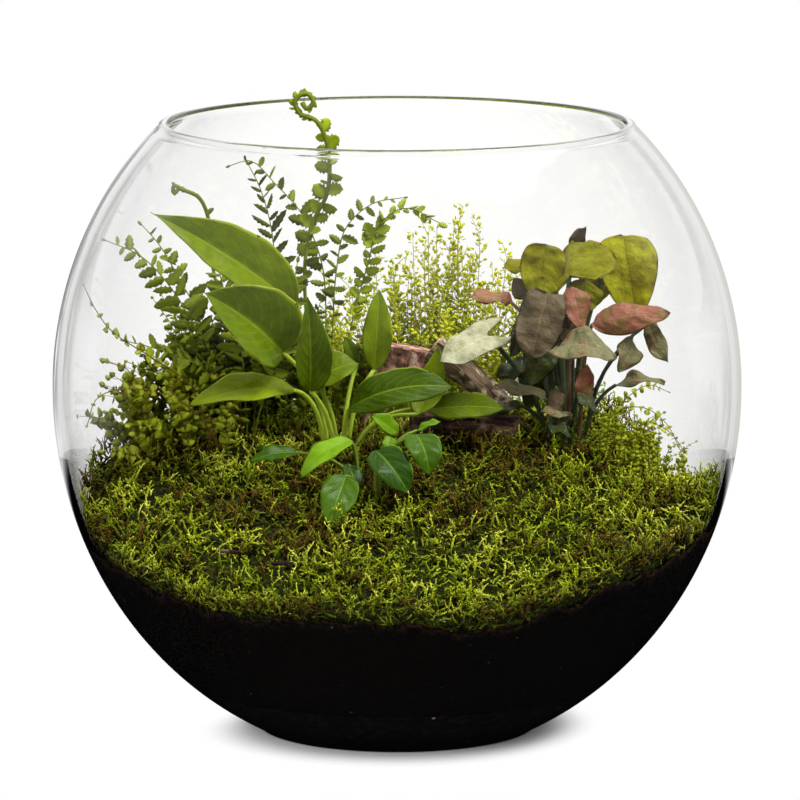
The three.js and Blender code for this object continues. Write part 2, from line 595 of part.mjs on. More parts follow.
function spray({ crown, top, spread }, seed) {
  const random = seeded(seed);
  const start = footIn(CROWNS[crown], [0, 0]);
  const heart = [start[0], start[1], start[2] + SPRAY.coreLift];
  const core = Manifold.sphere(SPRAY.core, 8).scale([1, 0.8, 1.4]).translate(heart);
  const stalk = Manifold.cylinder(SPRAY.coreLift, 1.2, 1.2, 6).translate(start);
  const stems = Array.from({ length: SPRAY.stems }, (_, i) => {
    const share = (i + 0.5) / SPRAY.stems - 0.5;
    const x = top[0] + 2 * spread * share;
    const y = top[1] + 6 * (random() - 0.5);
    const z = top[2] - 30 * random() * Math.abs(2 * share);
    const middle = [(heart[0] + x) / 2 + spread * share, (heart[1] + y) / 2 + 2, (heart[2] + z) / 2];
    return toManifold(frond({
      route: [heart, middle, [x, y, z]], face: [0.6 * (random() - 0.5), -1, 0.2],
      count: 5, longest: 5, broad: 4, bare: 0.12, rib: 1.1, lean: 0.8, plump: false, least: 0.5,
    }));
  });
  return Manifold.union([core, stalk, ...stems]).simplify(TIDY);
}

// A frond or stem that leaves its hole upright before it follows its route
function stemOf(spec) {
  const foot = footIn(CROWNS[spec.crown], spec.foot);
  const mouth = [foot[0], foot[1], foot[2] + HOLE_DEPTH + 2];
  return frond({ ...spec, route: [foot, mouth, ...spec.route] });
}

function leafIn(crown, spec) {
  return leaf({ ...spec, foot: footIn(CROWNS[crown], spec.foot) });
}

// Leaves whose stalks stand side by side on one short stub
const STUB = { height: 8, girth: 4.2, inset: 1.2 };

function leafyStem(crown, { foot, leaves }, common) {
  const [x, y, z] = footIn(CROWNS[crown], foot);
  const stub = Manifold.cylinder(STUB.height, STUB.girth / 2, STUB.girth / 2, 6).translate([x, y, z]);
  const solids = leaves.map((spec, i) => {
    const turn = Math.atan2(spec.base[1] - y, spec.base[0] - x);
    const out = leaves.length > 1 ? STUB.inset : 0;
    const start = [x + out * Math.cos(turn), y + out * Math.sin(turn), z + STUB.height / 2 + 0.5 * i];
    return leaf({ ...common, ...spec, foot: start });
  });
  return Manifold.union([stub, ...solids]).simplify(TIDY);
}

// ---- the piece ----

const terrarium = new THREE.Group();

function add(name, solid, material) {
  const geometry = solid.isBufferGeometry ? solid : fromManifold(solid);
  const mesh = new THREE.Mesh(geometry, material);
  mesh.name = name;
  terrarium.add(mesh);
}

function addFillings() {
  const room = makeRoom();
  const wood = Object.values(WOOD).map((spec) => limb({ ...spec, grow: GAP }));
  const twigs = Object.values(TWIGS).map((spec) => twig(spec, GAP));
  const sunk = Manifold.union([makeHoles(), ...wood, ...twigs]);
  const soil = room.intersect(hillBlock(() => GRAVEL_TOP + GAP, (x, y) => hill(x, y) - MOSS_DEPTH));
  const moss = room.intersect(hillBlock((x, y) => hill(x, y) - MOSS_DEPTH + GAP, hill));
  add('glass_bowl', makeBowl(), GLASS);
  add('drainage_gravel', room.trimByPlane([0, 0, -1], -GRAVEL_TOP), GRAVEL);
  add('soil', soil.subtract(sunk).simplify(TIDY), SOIL);
  add('moss_carpet', moss.subtract(sunk).simplify(TIDY), MOSS);
}

function addPlants() {
  Object.entries(WOOD).forEach(([name, spec]) => add(name, limb(spec), BARK));
  Object.entries(TWIGS).forEach(([name, spec]) => add(name, twig(spec), TWIG));
  LILY_LEAVES.forEach((spec, i) => add(`peace_lily_leaf_${i + 1}`, leafIn('lily', spec), LILY));
  const young = { stalk: 1.4, belly: 0.5, point: 0.75, fold: 10, rise: 0.9 };
  YOUNG_STEMS.forEach((spec, i) => add(`young_plant_stem_${i + 1}`, leafyStem('young', spec, young), YOUNG));
  const arrowhead = { stalk: 1.7, belly: 0.5, point: 0.8 };
  ARROWHEAD_STEMS.forEach((spec, i) => {
    add(`arrowhead_stem_${i + 1}`, leafyStem('arrowhead', spec, arrowhead), ARROWHEAD[spec.color]);
  });
  FRONDS.forEach((spec, i) => add(`fern_frond_${i + 1}`, stemOf(spec), FERN));
  TRAILS.forEach((spec, i) => add(`trailing_stem_${i + 1}`, stemOf(spec), TRAIL));
  SPRIGS.forEach((spec, i) => add(`low_sprig_${i + 1}`, stemOf(spec), TRAIL));
  SPRAYS.forEach((spec, i) => add(`spike_moss_${i + 1}`, spray(spec, 11 + i), SPIKE));
}

addFillings();
addPlants();

export default terrarium;
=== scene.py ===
# Glass plant terrarium: a blown bubble bowl with gravel, peat soil, living moss, bark and small plants.
# Dictionaries hold millimetres and degrees; every finished mesh is in metres, +Z up, front towards -Y.
import math

import bmesh
import bpy
import numpy as np
from mathutils import Matrix, Vector, noise


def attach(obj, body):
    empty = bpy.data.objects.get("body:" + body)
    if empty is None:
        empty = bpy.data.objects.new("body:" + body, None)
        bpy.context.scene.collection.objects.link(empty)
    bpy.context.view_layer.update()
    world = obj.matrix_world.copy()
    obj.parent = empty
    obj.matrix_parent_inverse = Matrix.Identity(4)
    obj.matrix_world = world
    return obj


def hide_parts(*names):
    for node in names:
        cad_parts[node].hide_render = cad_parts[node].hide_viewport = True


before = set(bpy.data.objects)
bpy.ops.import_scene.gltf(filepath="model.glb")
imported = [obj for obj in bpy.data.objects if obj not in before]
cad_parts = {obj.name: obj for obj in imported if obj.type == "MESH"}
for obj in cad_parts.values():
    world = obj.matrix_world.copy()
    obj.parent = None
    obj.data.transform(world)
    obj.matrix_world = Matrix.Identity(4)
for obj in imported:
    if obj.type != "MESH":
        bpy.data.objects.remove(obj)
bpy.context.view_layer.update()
print("frame loaded:", len(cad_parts), "nodes")

mm = 0.001  # in metres


def linear(hexColour):
    # sRGB hex to the linear colour that sockets take
    parts = [int(hexColour[i:i + 2], 16) / 255 for i in (0, 2, 4)]
    return (*(c / 12.92 if c <= 0.04045 else ((c + 0.055) / 1.055) ** 2.4 for c in parts), 1.0)


def clamp(x, low=0.0, high=1.0):
    return max(low, min(high, x))


def mix(a, b, t):
    return a + (b - a) * t


def polar(radius, turn, z=0.0):
    return Vector((radius * math.cos(turn), radius * math.sin(turn), z))


def frameOf(ahead, face):
    # sideways and upward directions of a blade that runs along ahead and faces face
    side = ahead.cross(face).normalized()
    return side, side.cross(ahead).normalized()


def bezier(a, b, c, t):
    return a * (1 - t) ** 2 + b * (2 * t * (1 - t)) + c * t ** 2


def bezierAhead(a, b, c, t):
    return ((b - a) * (1 - t) + (c - b) * t).normalized()


def smoothRoute(points, count):
    # an even run of points on the centripetal curve through the given ones, and its length
    p = [Vector(q) for q in points]
    p = [p[0] * 2 - p[1], *p, p[-1] * 2 - p[-2]]
    dense = []
    for i in range(1, len(p) - 2):
        gaps = [max((p[i + k] - p[i + k - 1]).length, 1e-6) ** 0.5 for k in (0, 1, 2)]
        x0, x1, x2, x3 = p[i - 1:i + 3]
        out = ((x1 - x0) / gaps[0] - (x2 - x0) / (gaps[0] + gaps[1]) + (x2 - x1) / gaps[1]) * gaps[1]
        back = ((x2 - x1) / gaps[1] - (x3 - x1) / (gaps[1] + gaps[2]) + (x3 - x2) / gaps[2]) * gaps[1]
        for k in range(24):
            t = k / 24
            dense.append(x1 + out * t + (x2 * 3 - x1 * 3 - out * 2 - back) * t ** 2
                         + (x1 * 2 - x2 * 2 + out + back) * t ** 3)
    dense.append(p[-2])
    steps = [0.0]
    for a, b in zip(dense, dense[1:]):
        steps.append(steps[-1] + (b - a).length)
    run, k = [], 0
    for i in range(count + 1):
        goal = steps[-1] * i / count
        while k < len(steps) - 2 and steps[k + 1] < goal:
            k += 1
        share = (goal - steps[k]) / max(steps[k + 1] - steps[k], 1e-9)
        run.append(dense[k].lerp(dense[k + 1], clamp(share)))
    return run, steps[-1]


def aheadOf(run, i):
    return (run[min(i + 1, len(run) - 1)] - run[max(i - 1, 0)]).normalized()


def pointAt(run, share):
    # the spot at a share of a run, and the way the run goes there
    k = share * (len(run) - 1)
    return run[int(k)].lerp(run[min(int(k) + 1, len(run) - 1)], k % 1), aheadOf(run, int(k))


meshLayers = ("tint", "underside")


def startMesh():
    bm = bmesh.new()
    bm.loops.layers.uv.new("UVMap")
    for layer in meshLayers:
        bm.verts.layers.float.new(layer)
    return bm


def rolledGrid(bm, around, along, place, uvOf=None, tint=0.5, under=None):
    # a grid rolled into a tube whose two ends are closed; place(i, j) gives each corner
    made = bmesh.ops.create_grid(bm, x_segments=around, y_segments=along, size=1)["verts"]
    uvOf = uvOf or (lambda i, j: (i / around, j / along))
    uvLayer = bm.loops.layers.uv["UVMap"]
    tintLayer, underLayer = bm.verts.layers.float["tint"], bm.verts.layers.float["underside"]
    spot = {v: (round((v.co.x + 1) / 2 * around), round((v.co.y + 1) / 2 * along)) for v in made}
    for face in {f for v in made for f in v.link_faces}:
        face.smooth = True
        for loop in face.loops:
            loop[uvLayer].uv = uvOf(*spot[loop.vert])
    for v, (i, j) in spot.items():
        v.co = place(i % around, j)
        v[tintLayer] = tint
        v[underLayer] = under(i % around, j) if under else 0.0
    bmesh.ops.remove_doubles(bm, verts=made, dist=1e-4)
    bmesh.ops.holes_fill(bm, edges=[e for e in bm.edges if e.is_boundary], sides=0)


def acrossShare(i, columns):
    # how far across a blade a column of its rolled grid lies, -1 to 1, over the top and back below
    return 1 - 2 * i / columns if i <= columns else 2 * (i - columns) / columns - 1


def finishPiece(bm, name, material, replaced=()):
    bmesh.ops.recalc_face_normals(bm, faces=bm.faces[:])
    bmesh.ops.scale(bm, vec=(mm,) * 3, verts=bm.verts[:])
    mesh = bpy.data.meshes.new(name)
    bm.to_mesh(mesh)
    bm.free()
    placePiece(mesh, name, material, replaced)


def placePiece(mesh, name, material, replaced=()):
    # every piece rides on the one body
    piece = bpy.data.objects.new(name, mesh)
    bpy.context.scene.collection.objects.link(piece)
    mesh.materials.append(material)
    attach(piece, "root")
    if replaced:
        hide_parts(*replaced)


def templateOf(bm):
    # a small shape as arrays, ready to be repeated
    bmesh.ops.recalc_face_normals(bm, faces=bm.faces[:])
    bmesh.ops.triangulate(bm, faces=bm.faces[:])
    bm.verts.index_update()
    uvLayer = bm.loops.layers.uv["UVMap"]
    shape = {
        "co": np.array([v.co[:] for v in bm.verts]),
        "corners": np.array([loop.vert.index for f in bm.faces for loop in f.loops]),
        "uv": np.array([loop[uvLayer].uv[:] for f in bm.faces for loop in f.loops]),
    }
    bm.free()
    return shape


def keptInside(co):
    # anything that would poke through the glass is pressed flat against it
    z = co[:, 2]
    inset = bowl["wall"] + bowl["clear"]
    reach = np.where(z < bowl["waist"], bowl["below"], bowl["above"]) - inset
    share = np.clip((z - bowl["waist"]) / reach, -1, 1)
    most = (bowl["girth"] - inset) * np.sqrt(1 - share ** 2)
    away = np.hypot(co[:, 0], co[:, 1])
    shrink = np.where((z < bowl["height"]) & (away > most), most / np.maximum(away, 1), 1)
    return co * np.stack([shrink, shrink, np.ones(len(co))], axis=1)


def repeated(name, material, batches, replaced=()):
    # one mesh of many copies; batches is a list of (template, N x 4 x 4 places, N tints)
    co, corners, uv, tint, first = [], [], [], [], 0
    for shape, places, tints in batches:
        places, tints = np.asarray(places, float), np.asarray(tints, float)
        count = len(shape["co"])
        spots = np.einsum("nij,vj->nvi", places[:, :3, :3], shape["co"]) + places[:, None, :3, 3]
        co.append(spots.reshape(-1, 3))
        steps = first + count * np.arange(len(places))
        corners.append((steps[:, None] + shape["corners"][None, :]).ravel())
        uv.append(np.tile(shape["uv"], (len(places), 1)))
        tint.append(np.repeat(tints, count))
        first += count * len(places)
    co, corners, uv, tint = (np.concatenate(part) for part in (co, corners, uv, tint))
    co = keptInside(co)
    mesh = bpy.data.meshes.new(name)
    mesh.vertices.add(len(co))
    mesh.vertices.foreach_set("co", (co * mm).astype(np.float32).ravel())
    mesh.loops.add(len(corners))
    mesh.loops.foreach_set("vertex_index", corners.astype(np.int32))
    mesh.polygons.add(len(corners) // 3)
    mesh.polygons.foreach_set("loop_start", np.arange(0, len(corners), 3, dtype=np.int32))
    mesh.update(calc_edges=True)
    mesh.polygons.foreach_set("use_smooth", np.ones(len(corners) // 3, bool))
    mesh.uv_layers.new(name="UVMap").data.foreach_set("uv", uv.astype(np.float32).ravel())
    mesh.attributes.new("tint", "FLOAT", "POINT").data.foreach_set("value", tint.astype(np.float32))
    mesh.attributes.new("underside", "FLOAT", "POINT")
    placePiece(mesh, name, material, replaced)


def single(shape, tint):
    # a batch of one copy, right where its template stands
    return shape, np.eye(4)[None], [tint]


def columnsOf(rows):
    return (np.array(column) for column in zip(*rows))


def placesFrom(roots, ups, sides, lengths, widths):
    # a stack of 4 x 4 places: z runs along ups, x along sides
    ups = ups / np.linalg.norm(ups, axis=1, keepdims=True)
    across = np.cross(ups, sides)
    across /= np.linalg.norm(across, axis=1, keepdims=True)
    sides = np.cross(across, ups)
    places = np.zeros((len(roots), 4, 4))
    places[:, :3, 0] = sides * widths[:, None]
    places[:, :3, 1] = across * widths[:, None]
    places[:, :3, 2] = ups * lengths[:, None]
    places[:, :3, 3] = roots
    places[:, 3, 3] = 1
    return places


graph = {}  # the material or world whose nodes are being added, and its tree
# short names of the nodes used most; ease runs softly from 0 to 1 between two values
usualNodes = {
    "ease": ("MapRange", {"interpolation_type": "SMOOTHSTEP"}),
    "mixColour": ("Mix", {"data_type": "RGBA"}),
    "tintColour": ("Mix", {"data_type": "RGBA", "blend_type": "MULTIPLY"}),
}
for operation in ("ADD", "SUBTRACT", "MULTIPLY", "MAXIMUM", "POWER", "ABSOLUTE", "PINGPONG", "GREATER_THAN"):
    usualNodes[operation.lower()] = ("Math", {"operation": operation})


def addNode(kind, *values, **settings):
    # values go to the live inputs in order, or by name from a dictionary; a node or an output is linked,
    # and a number or a hex colour is set
    kind, usual = usualNodes.get(kind, (kind, {}))
    node = graph["tree"].nodes.new("ShaderNode" + kind)
    for key, value in {**usual, **settings}.items():
        setattr(node, key, value)
    pairs = zip([socket for socket in node.inputs if socket.enabled], values)
    if values and isinstance(values[0], dict):
        pairs = [(node.inputs[name], value) for name, value in values[0].items()]
    for socket, value in pairs:
        if isinstance(value, bpy.types.Node):
            value = next(output for output in value.outputs if output.enabled)
        if isinstance(value, bpy.types.NodeSocket):
            graph["tree"].links.new(value, socket)
        else:
            socket.default_value = linear(value) if isinstance(value, str) else value
    return node


def startGraph(owner):
    owner.use_nodes = True
    graph["owner"], graph["tree"] = owner, owner.node_tree
    owner.node_tree.nodes.clear()


def newMaterial(name):
    startGraph(bpy.data.materials.new(name))


def finishMaterial(shader):
    addNode("OutputMaterial", shader)
    return graph["owner"]


def layered(body, *layers):
    # colours laid over a first one in turn, each by its own amount
    for amount, colour in layers:
        body = addNode("mixColour", amount, body, colour)
    return body


def finishRough(body, rough, gloss, height, strength, depth):
    # an opaque surface whose relief is depth millimetres deep
    relief = addNode("Bump", {"Height": height, "Strength": strength, "Distance": depth * mm})
    return finishMaterial(addNode("BsdfPrincipled", {
        "Base Color": body, "Roughness": rough, "Specular IOR Level": gloss, "Normal": relief}))


camera = {"from": (0, -2710, 582), "at": (1.3, 0, 144), "lens": 283.2}
cameraData = bpy.data.cameras.new("camera")
cameraData.lens = camera["lens"]
cameraData.sensor_width = 36
cameraData.clip_start, cameraData.clip_end = 0.05, 60
cameraObject = bpy.data.objects.new("camera", cameraData)
bpy.context.scene.collection.objects.link(cameraObject)
cameraObject.location = Vector(camera["from"]) * mm
toBowl = Vector(camera["at"]) - Vector(camera["from"])
cameraObject.rotation_euler = toBowl.to_track_quat("-Z", "Y").to_euler()
bpy.context.scene.camera = cameraObject
bpy.context.scene.view_settings.view_transform = "Standard"
print("camera placed")


studio = {
    "world": "ffffff", "behind": 0.75, "above": 0.55, "base": 0.32,
    "through": 1.12,  # a little over white, which makes up for what the glass mirrors away
    "leafGlow": 0.55, "overhead": 0.8,
    "windowWay": (0.36, -0.02, 0.94), "windowAngles": (18, 9), "windowGlow": 7.0,
    "flag": "2c2925", "flagAside": (0.14, 0.22), "flagHeight": 0.16, "rightWall": "f4f2ef",
    "mirrorAside": (0.46, 0.32), "mirrorRight": "c4c0b8",
    # paintedShadowUnderFoot is the ring where the floor's painted shadow under the foot fades out
    "floorRadius": 620, "floorFade": (62, 92), "paintedShadowUnderFoot": (57, 62), "tableBack": (380, 550),
    "heart": (0, 0, 140),  # the softboxes look at it
    # name: (direction it comes from, distance, width, height, power)
    "softboxes": {
        "keySoftbox": ((0.5, -0.2, 0.84), 1300, 700, 700, 40),
        "backSoftbox": ((-0.35, 0.75, 0.62), 1500, 900, 700, 46),
        "frontFill": ((-0.45, -0.85, 0.35), 1900, 900, 900, 20),
    },
}


def makeWorld():
    world = bpy.data.worlds.new("studioWorld")
    bpy.context.scene.world = world
    startGraph(world)
    white = studio["world"]
    ray, generated = addNode("LightPath").outputs, addNode("TexCoord").outputs["Generated"]
    x, y, z = addNode("SeparateXYZ", generated).outputs
    diffuse = ray["Is Diffuse Ray"]
    direct = addNode("subtract", 1.0, diffuse)
    behind = addNode("multiply", addNode("ease", y, -0.2, 0.9), studio["behind"])
    above = addNode("multiply", addNode("ease", z, -0.1, 0.9), studio["above"])
    glow = addNode("add", addNode("add", behind, above), studio["base"])
    # the glass mirrors the white backdrop and one soft window; the rest of the room is dark, so the soil
    # shows black. What is mirrored deeper in, off the leaves, sees a lit ceiling too.
    backdrop = addNode("multiply", addNode("ease", z, -0.3, -0.2), addNode("ease", y, 0.1, 0.7))
    deep = addNode("multiply", addNode("greater_than", ray["Ray Depth"], 2.5), studio["leafGlow"])
    ceiling = addNode("multiply", deep, addNode("ease", z, 0.1, 0.7))
    ceiling = addNode("maximum", ceiling, addNode("ease", z, 0.84, 0.95, 0.0, studio["overhead"]))
    windowWay = Vector(studio["windowWay"]).normalized()
    toWindow = addNode("VectorMath", generated, windowWay, operation="DOT_PRODUCT")
    wide, narrow = (math.cos(math.radians(a)) for a in studio["windowAngles"])
    window = addNode("ease", toWindow, wide, narrow, 0.0, studio["windowGlow"])
    mirrored = addNode("add", addNode("maximum", backdrop, ceiling), window)
    power = addNode("add", addNode("multiply", glow, diffuse), addNode("multiply", mirrored, direct))
    # the thick edges of the glass gather light from aside: a dark flag at the left, a grey wall at the right
    lifted = addNode("add", z, studio["flagHeight"])
    aside = addNode("VectorMath", addNode("CombineXYZ", {"X": x, "Z": lifted}), operation="LENGTH")
    uneven = addNode("TexNoise", generated, 14.0)
    overTable = addNode("ease", lifted, -0.05, 0.02)
    flag = addNode("multiply", addNode("ease", aside, *studio["flagAside"]), addNode("ease", x, -0.05, -0.12))
    flag = addNode("multiply", addNode("multiply", flag, overTable), addNode("ease", uneven, 0.35, 0.55))
    sides = layered(white, (addNode("ease", x, 0.1, 0.3), studio["rightWall"]), (flag, studio["flag"]))
    # at the rim of its outline the glass mirrors what stands beside the backdrop
    grazing = addNode("ease", aside, *studio["mirrorAside"])
    right = addNode("multiply", grazing, addNode("ease", x, 0.03, 0.1))
    left = addNode("multiply", grazing, addNode("ease", x, -0.03, -0.1))
    left = addNode("multiply", addNode("multiply", left, overTable), addNode("ease", uneven, 0.3, 0.5))
    rim = layered(white, (right, studio["mirrorRight"]), (left, studio["flag"]))
    lit = addNode("Background", layered(rim, (diffuse, white)), power)
    through = addNode("Background", sides, studio["through"])
    lit = addNode("MixShader", addNode("multiply", ray["Is Transmission Ray"], direct), lit, through)
    seen = addNode("Background", white, 1.0)
    addNode("OutputWorld", addNode("MixShader", ray["Is Camera Ray"], lit, seen))


def makeFloor():
    # white acrylic that is lit from below, so only its middle takes a shadow; right under the foot it is
    # painted near black, a painted shadow
    bm = bmesh.new()
    bmesh.ops.create_circle(bm, cap_ends=True, segments=96, radius=studio["floorRadius"] * mm)
    mesh = bpy.data.meshes.new("floor")
    bm.to_mesh(mesh)
    bm.free()
    floor = bpy.data.objects.new("floor", mesh)
    bpy.context.scene.collection.objects.link(floor)
    rings = ("floorFade", "paintedShadowUnderFoot", "tableBack")
    fade, paintedShadowUnderFoot, tableBack = ([r * mm for r in studio[ring]] for ring in rings)
    newMaterial("litWhiteAcrylic")
    place, ray = addNode("TexCoord").outputs["Object"], addNode("LightPath").outputs
    away, diffuse = addNode("VectorMath", place, operation="LENGTH"), ray["Is Diffuse Ray"]
    # near black inside the foot's ring: a painted shadow under the bowl
    plain = addNode("BsdfDiffuse", layered("080808", (addNode("ease", away, *paintedShadowUnderFoot), "f4f4f4")))
    straight = addNode("maximum", ray["Is Camera Ray"], ray["Is Transmission Ray"])
    bright = addNode("Emission", "ffffff", addNode("maximum", straight, diffuse))
    shade = addNode("MixShader", addNode("ease", away, *fade), plain, bright)
    # the glass mirrors a dark table in front and the white backdrop behind
    back = addNode("ease", addNode("SeparateXYZ", place).outputs["Y"], *tableBack)
    table = addNode("Emission", layered("040404", (back, "ffffff")))
    mirrored = addNode("multiply", ray["Is Reflection Ray"], addNode("subtract", 1.0, diffuse))
    mesh.materials.append(finishMaterial(addNode("MixShader", mirrored, shade, table)))


def makeLamps():
    for name, (way, distance, width, height, power) in studio["softboxes"].items():
        lamp = bpy.data.lights.new(name, "AREA")
        lamp.shape, lamp.size, lamp.size_y, lamp.energy = "RECTANGLE", width * mm, height * mm, power
        box = bpy.data.objects.new(name, lamp)
        bpy.context.scene.collection.objects.link(box)
        box.location = (Vector(studio["heart"]) + Vector(way).normalized() * distance) * mm
        box.rotation_euler = (-Vector(way)).to_track_quat("-Z", "Y").to_euler()
        box.visible_camera = False
        box.visible_glossy = False  # the window in the world is what gets mirrored


makeWorld()
makeFloor()
makeLamps()
print("studio lit")


bowl = {"girth": 150, "waist": 150, "below": 163, "above": 158, "height": 266, "wall": 3.2, "floor": 7,
        "steps": 160, "rises": 84, "foot": 2.0, "clear": 0.4, "ior": 1.5, "tone": "f0ece4"}


def reachFrom(below, inset):
    # the wall is two half ellipses that meet at the waist, and this is how tall each is
    return (bowl["below"] if below else bowl["above"]) - inset


def wallRadius(z, inset=0.0):
    # radius of the wall at a height, inset in from its outer face
    share = clamp((z - bowl["waist"]) / reachFrom(z < bowl["waist"], inset), -1, 1)
    return (bowl["girth"] - inset) * math.sqrt(1 - share * share)


def wallRun(bottom, top, inset, count):
    low, high = (math.asin((z - bowl["waist"]) / reachFrom(z < bowl["waist"], inset)) for z in (bottom, top))
    run = []
    for i in range(count + 1):
        turn = mix(low, high, i / count)
        run.append(((bowl["girth"] - inset) * math.cos(turn),
                    bowl["waist"] + reachFrom(turn < 0, inset) * math.sin(turn)))
    return run


def makeGlassMaterial():
    # clear soda-lime glass, blown: colourless and smooth, a little grey where the wall is seen edge on
    newMaterial("blownSodaLimeGlass")
    edge = addNode("ease", addNode("LayerWeight", 0.5).outputs["Facing"], 0.8, 1.0)
    shader = addNode("BsdfPrincipled", {"Base Color": layered("ffffff", (edge, bowl["tone"])),
                                        "Roughness": 0.0, "IOR": bowl["ior"], "Transmission Weight": 1.0})
    clear, ray = addNode("BsdfTransparent", "f6f6f6"), addNode("LightPath").outputs
    for kind in ("Shadow", "Diffuse", "Reflection"):
        shader = addNode("MixShader", ray[f"Is {kind} Ray"], shader, clear)
    return finishMaterial(shader)


def makeBowl():
    wall, foot, floor = bowl["wall"], bowl["foot"], bowl["floor"]
    lipHeight = bowl["height"] - wall / 2
    outer = wallRun(1.2, lipHeight, 0, bowl["rises"])
    inner = wallRun(floor + 1.5, lipHeight, wall, bowl["rises"])[::-1]
    middle, half = (outer[-1][0] + inner[0][0]) / 2, (outer[-1][0] - inner[0][0]) / 2
    lip = [(middle + half * math.cos(a), lipHeight + wall / 2 * math.sin(a) ** 0.6)
           for a in (math.pi * k / 10 for k in range(1, 10))]
    footRim = outer[0][0] - foot
    hollow = inner[-1][0] - 4
    pairs = ([(0, 0), (footRim * 0.5, 0), (footRim, 0), (footRim + 0.6 * foot, 0.25)] + outer + lip + inner
             + [(hollow + 2, floor + 0.5), (hollow, floor), (hollow * 0.5, floor), (0, floor)])
    bm = startMesh()
    verts = [bm.verts.new((r, 0, z)) for r, z in pairs]
    edges = [bm.edges.new(pair) for pair in zip(verts, verts[1:])]
    bmesh.ops.spin(bm, geom=verts + edges, axis=(0, 0, 1), cent=(0, 0, 0), dvec=(0, 0, 0),
                   angle=2 * math.pi, steps=bowl["steps"], use_merge=True)
    bmesh.ops.remove_doubles(bm, verts=bm.verts[:], dist=1e-3)
    for face in bm.faces:
        face.smooth = True
    finishPiece(bm, "bubbleBowl", makeGlassMaterial(), ["glass_bowl"])


makeBowl()
print("bowl blown")


# the dip is a hollow at the right back
hillside = {"crest": 117, "climb": 0.27, "lean": 0.03, "level": 30, "fall": 9, "reach": 135,
            "dip": {"x": 132, "y": 62, "depth": 26, "wide": 34, "long": 50}}
fill = {"gravelTop": 24, "mossDepth": 8, "around": 120, "rows": 26, "cells": 110, "wet": 0.12,
        "bedInset": 2.6, "bedSunk": 4.2}


def hill(x, y):
    # height of the moss
    away = (x * x + y * y) / hillside["reach"] ** 2
    ahead = np.where(y < hillside["level"], y, hillside["level"] + 0.3 * (y - hillside["level"]))
    mounds = 5 * np.cos((x + 20) / 20) * np.cos((y + 125) / 40)
    dip = hillside["dip"]
    hollow = dip["depth"] * np.exp(-((x - dip["x"]) / dip["wide"]) ** 2 - ((y - dip["y"]) / dip["long"]) ** 2)
    return float(hillside["crest"] + hillside["climb"] * ahead + hillside["lean"] * x
                 + (mounds - hillside["fall"]) * away - hollow)


def lumps(x, y, size, seed):
    return noise.noise(Vector((x / size, y / size, seed)))


def knots(x, y):
    # the felt under the moss is lumpy: broad cushions with small knots on them
    return 2.4 * lumps(x, y, 12, 1.0) + 1.1 * lumps(x, y, 4, 5.0)


def hillAtWall(turn, inset, drop=0.0):
    # where the hill, lowered by drop, meets the wall in one direction: (radius, height)
    z = 90.0
    for _ in range(12):
        r = wallRadius(z, inset)
        z = hill(r * math.cos(turn), r * math.sin(turn)) - drop
    return wallRadius(z, inset), z


def makeSoilMaterial(name, dark, light, grit, fleck, rooted):
    # moist peat: black-brown crumbs, with a few paler fibres and grains
    newMaterial(name)
    place = addNode("TexCoord").outputs["Object"]
    crumbs = addNode("TexNoise", place, 1 / (grit * mm), 6.0)
    grains = addNode("TexVoronoi", place, 1 / (2.4 * grit * mm)).outputs
    rare = addNode("ease", addNode("SeparateColor", grains["Color"]), 0.93, 0.97)
    flecks = addNode("multiply", addNode("ease", grains["Distance"], 0.16, 0.08), rare)
    # old moss stems colour the uppermost crumbs
    border = addNode("ease", addNode("SeparateXYZ", addNode("UVMap")).outputs["Y"], 0.9, 1.0)
    border = addNode("multiply", border, addNode("ease", crumbs, 0.4, 0.66, 0.0, rooted))
    body = layered(dark, (addNode("ease", crumbs, 0.45, 0.75), light), (flecks, fleck), (border, "2e1d10"))
    return finishRough(body, 0.85, 0.12, crumbs, 0.6, 0.6)


def makeFill():
    # soil and gravel touch the wall wetly, so the glass shows no air between
    touch = bowl["wall"] - fill["wet"]
    around, rows = fill["around"], fill["rows"]

    def block(name, bottom, topOf, material, node):
        def place(i, j):
            turn = 2 * math.pi * i / around
            z = mix(bottom, topOf(turn), j / rows)
            return polar(wallRadius(z, touch), turn, z)
        bm = startMesh()
        rolledGrid(bm, around, rows, place)
        finishPiece(bm, name, material, [node])

    def soilTop(turn):
        # a ragged upper border where the moss begins
        r, z = hillAtWall(turn, touch, fill["mossDepth"] - 3)
        ragged = 7 * lumps(r * math.cos(turn), r * math.sin(turn), 14, 3) + 3 * lumps(turn * 30, 0, 1, 8)
        return z + ragged - 1

    soil = makeSoilMaterial("moistPeatSoil", "060504", "120d0a", 1.6, "54463a", 0.7)
    gravel = makeSoilMaterial("wetLavaGravel", "070606", "17120f", 3.2, "8a7a6c", 0.0)
    top = fill["gravelTop"]
    block("peatSoil", top + 0.35, soilTop, soil, "soil")
    block("gravelLayer", bowl["floor"] - 0.1, lambda turn: top, gravel, "drainage_gravel")


def makeFeltMaterial():
    # old moss stems matted to a dark felt
    newMaterial("feltedMossBed")
    felt = addNode("TexNoise", addNode("TexCoord").outputs["Object"], 1 / (2.2 * mm), 8.0, 0.7)
    body = layered("0f0d05", (addNode("ease", felt, 0.4, 0.68), "35400b"))
    return finishRough(body, 0.95, 0.1, felt, 1.0, 1.5)


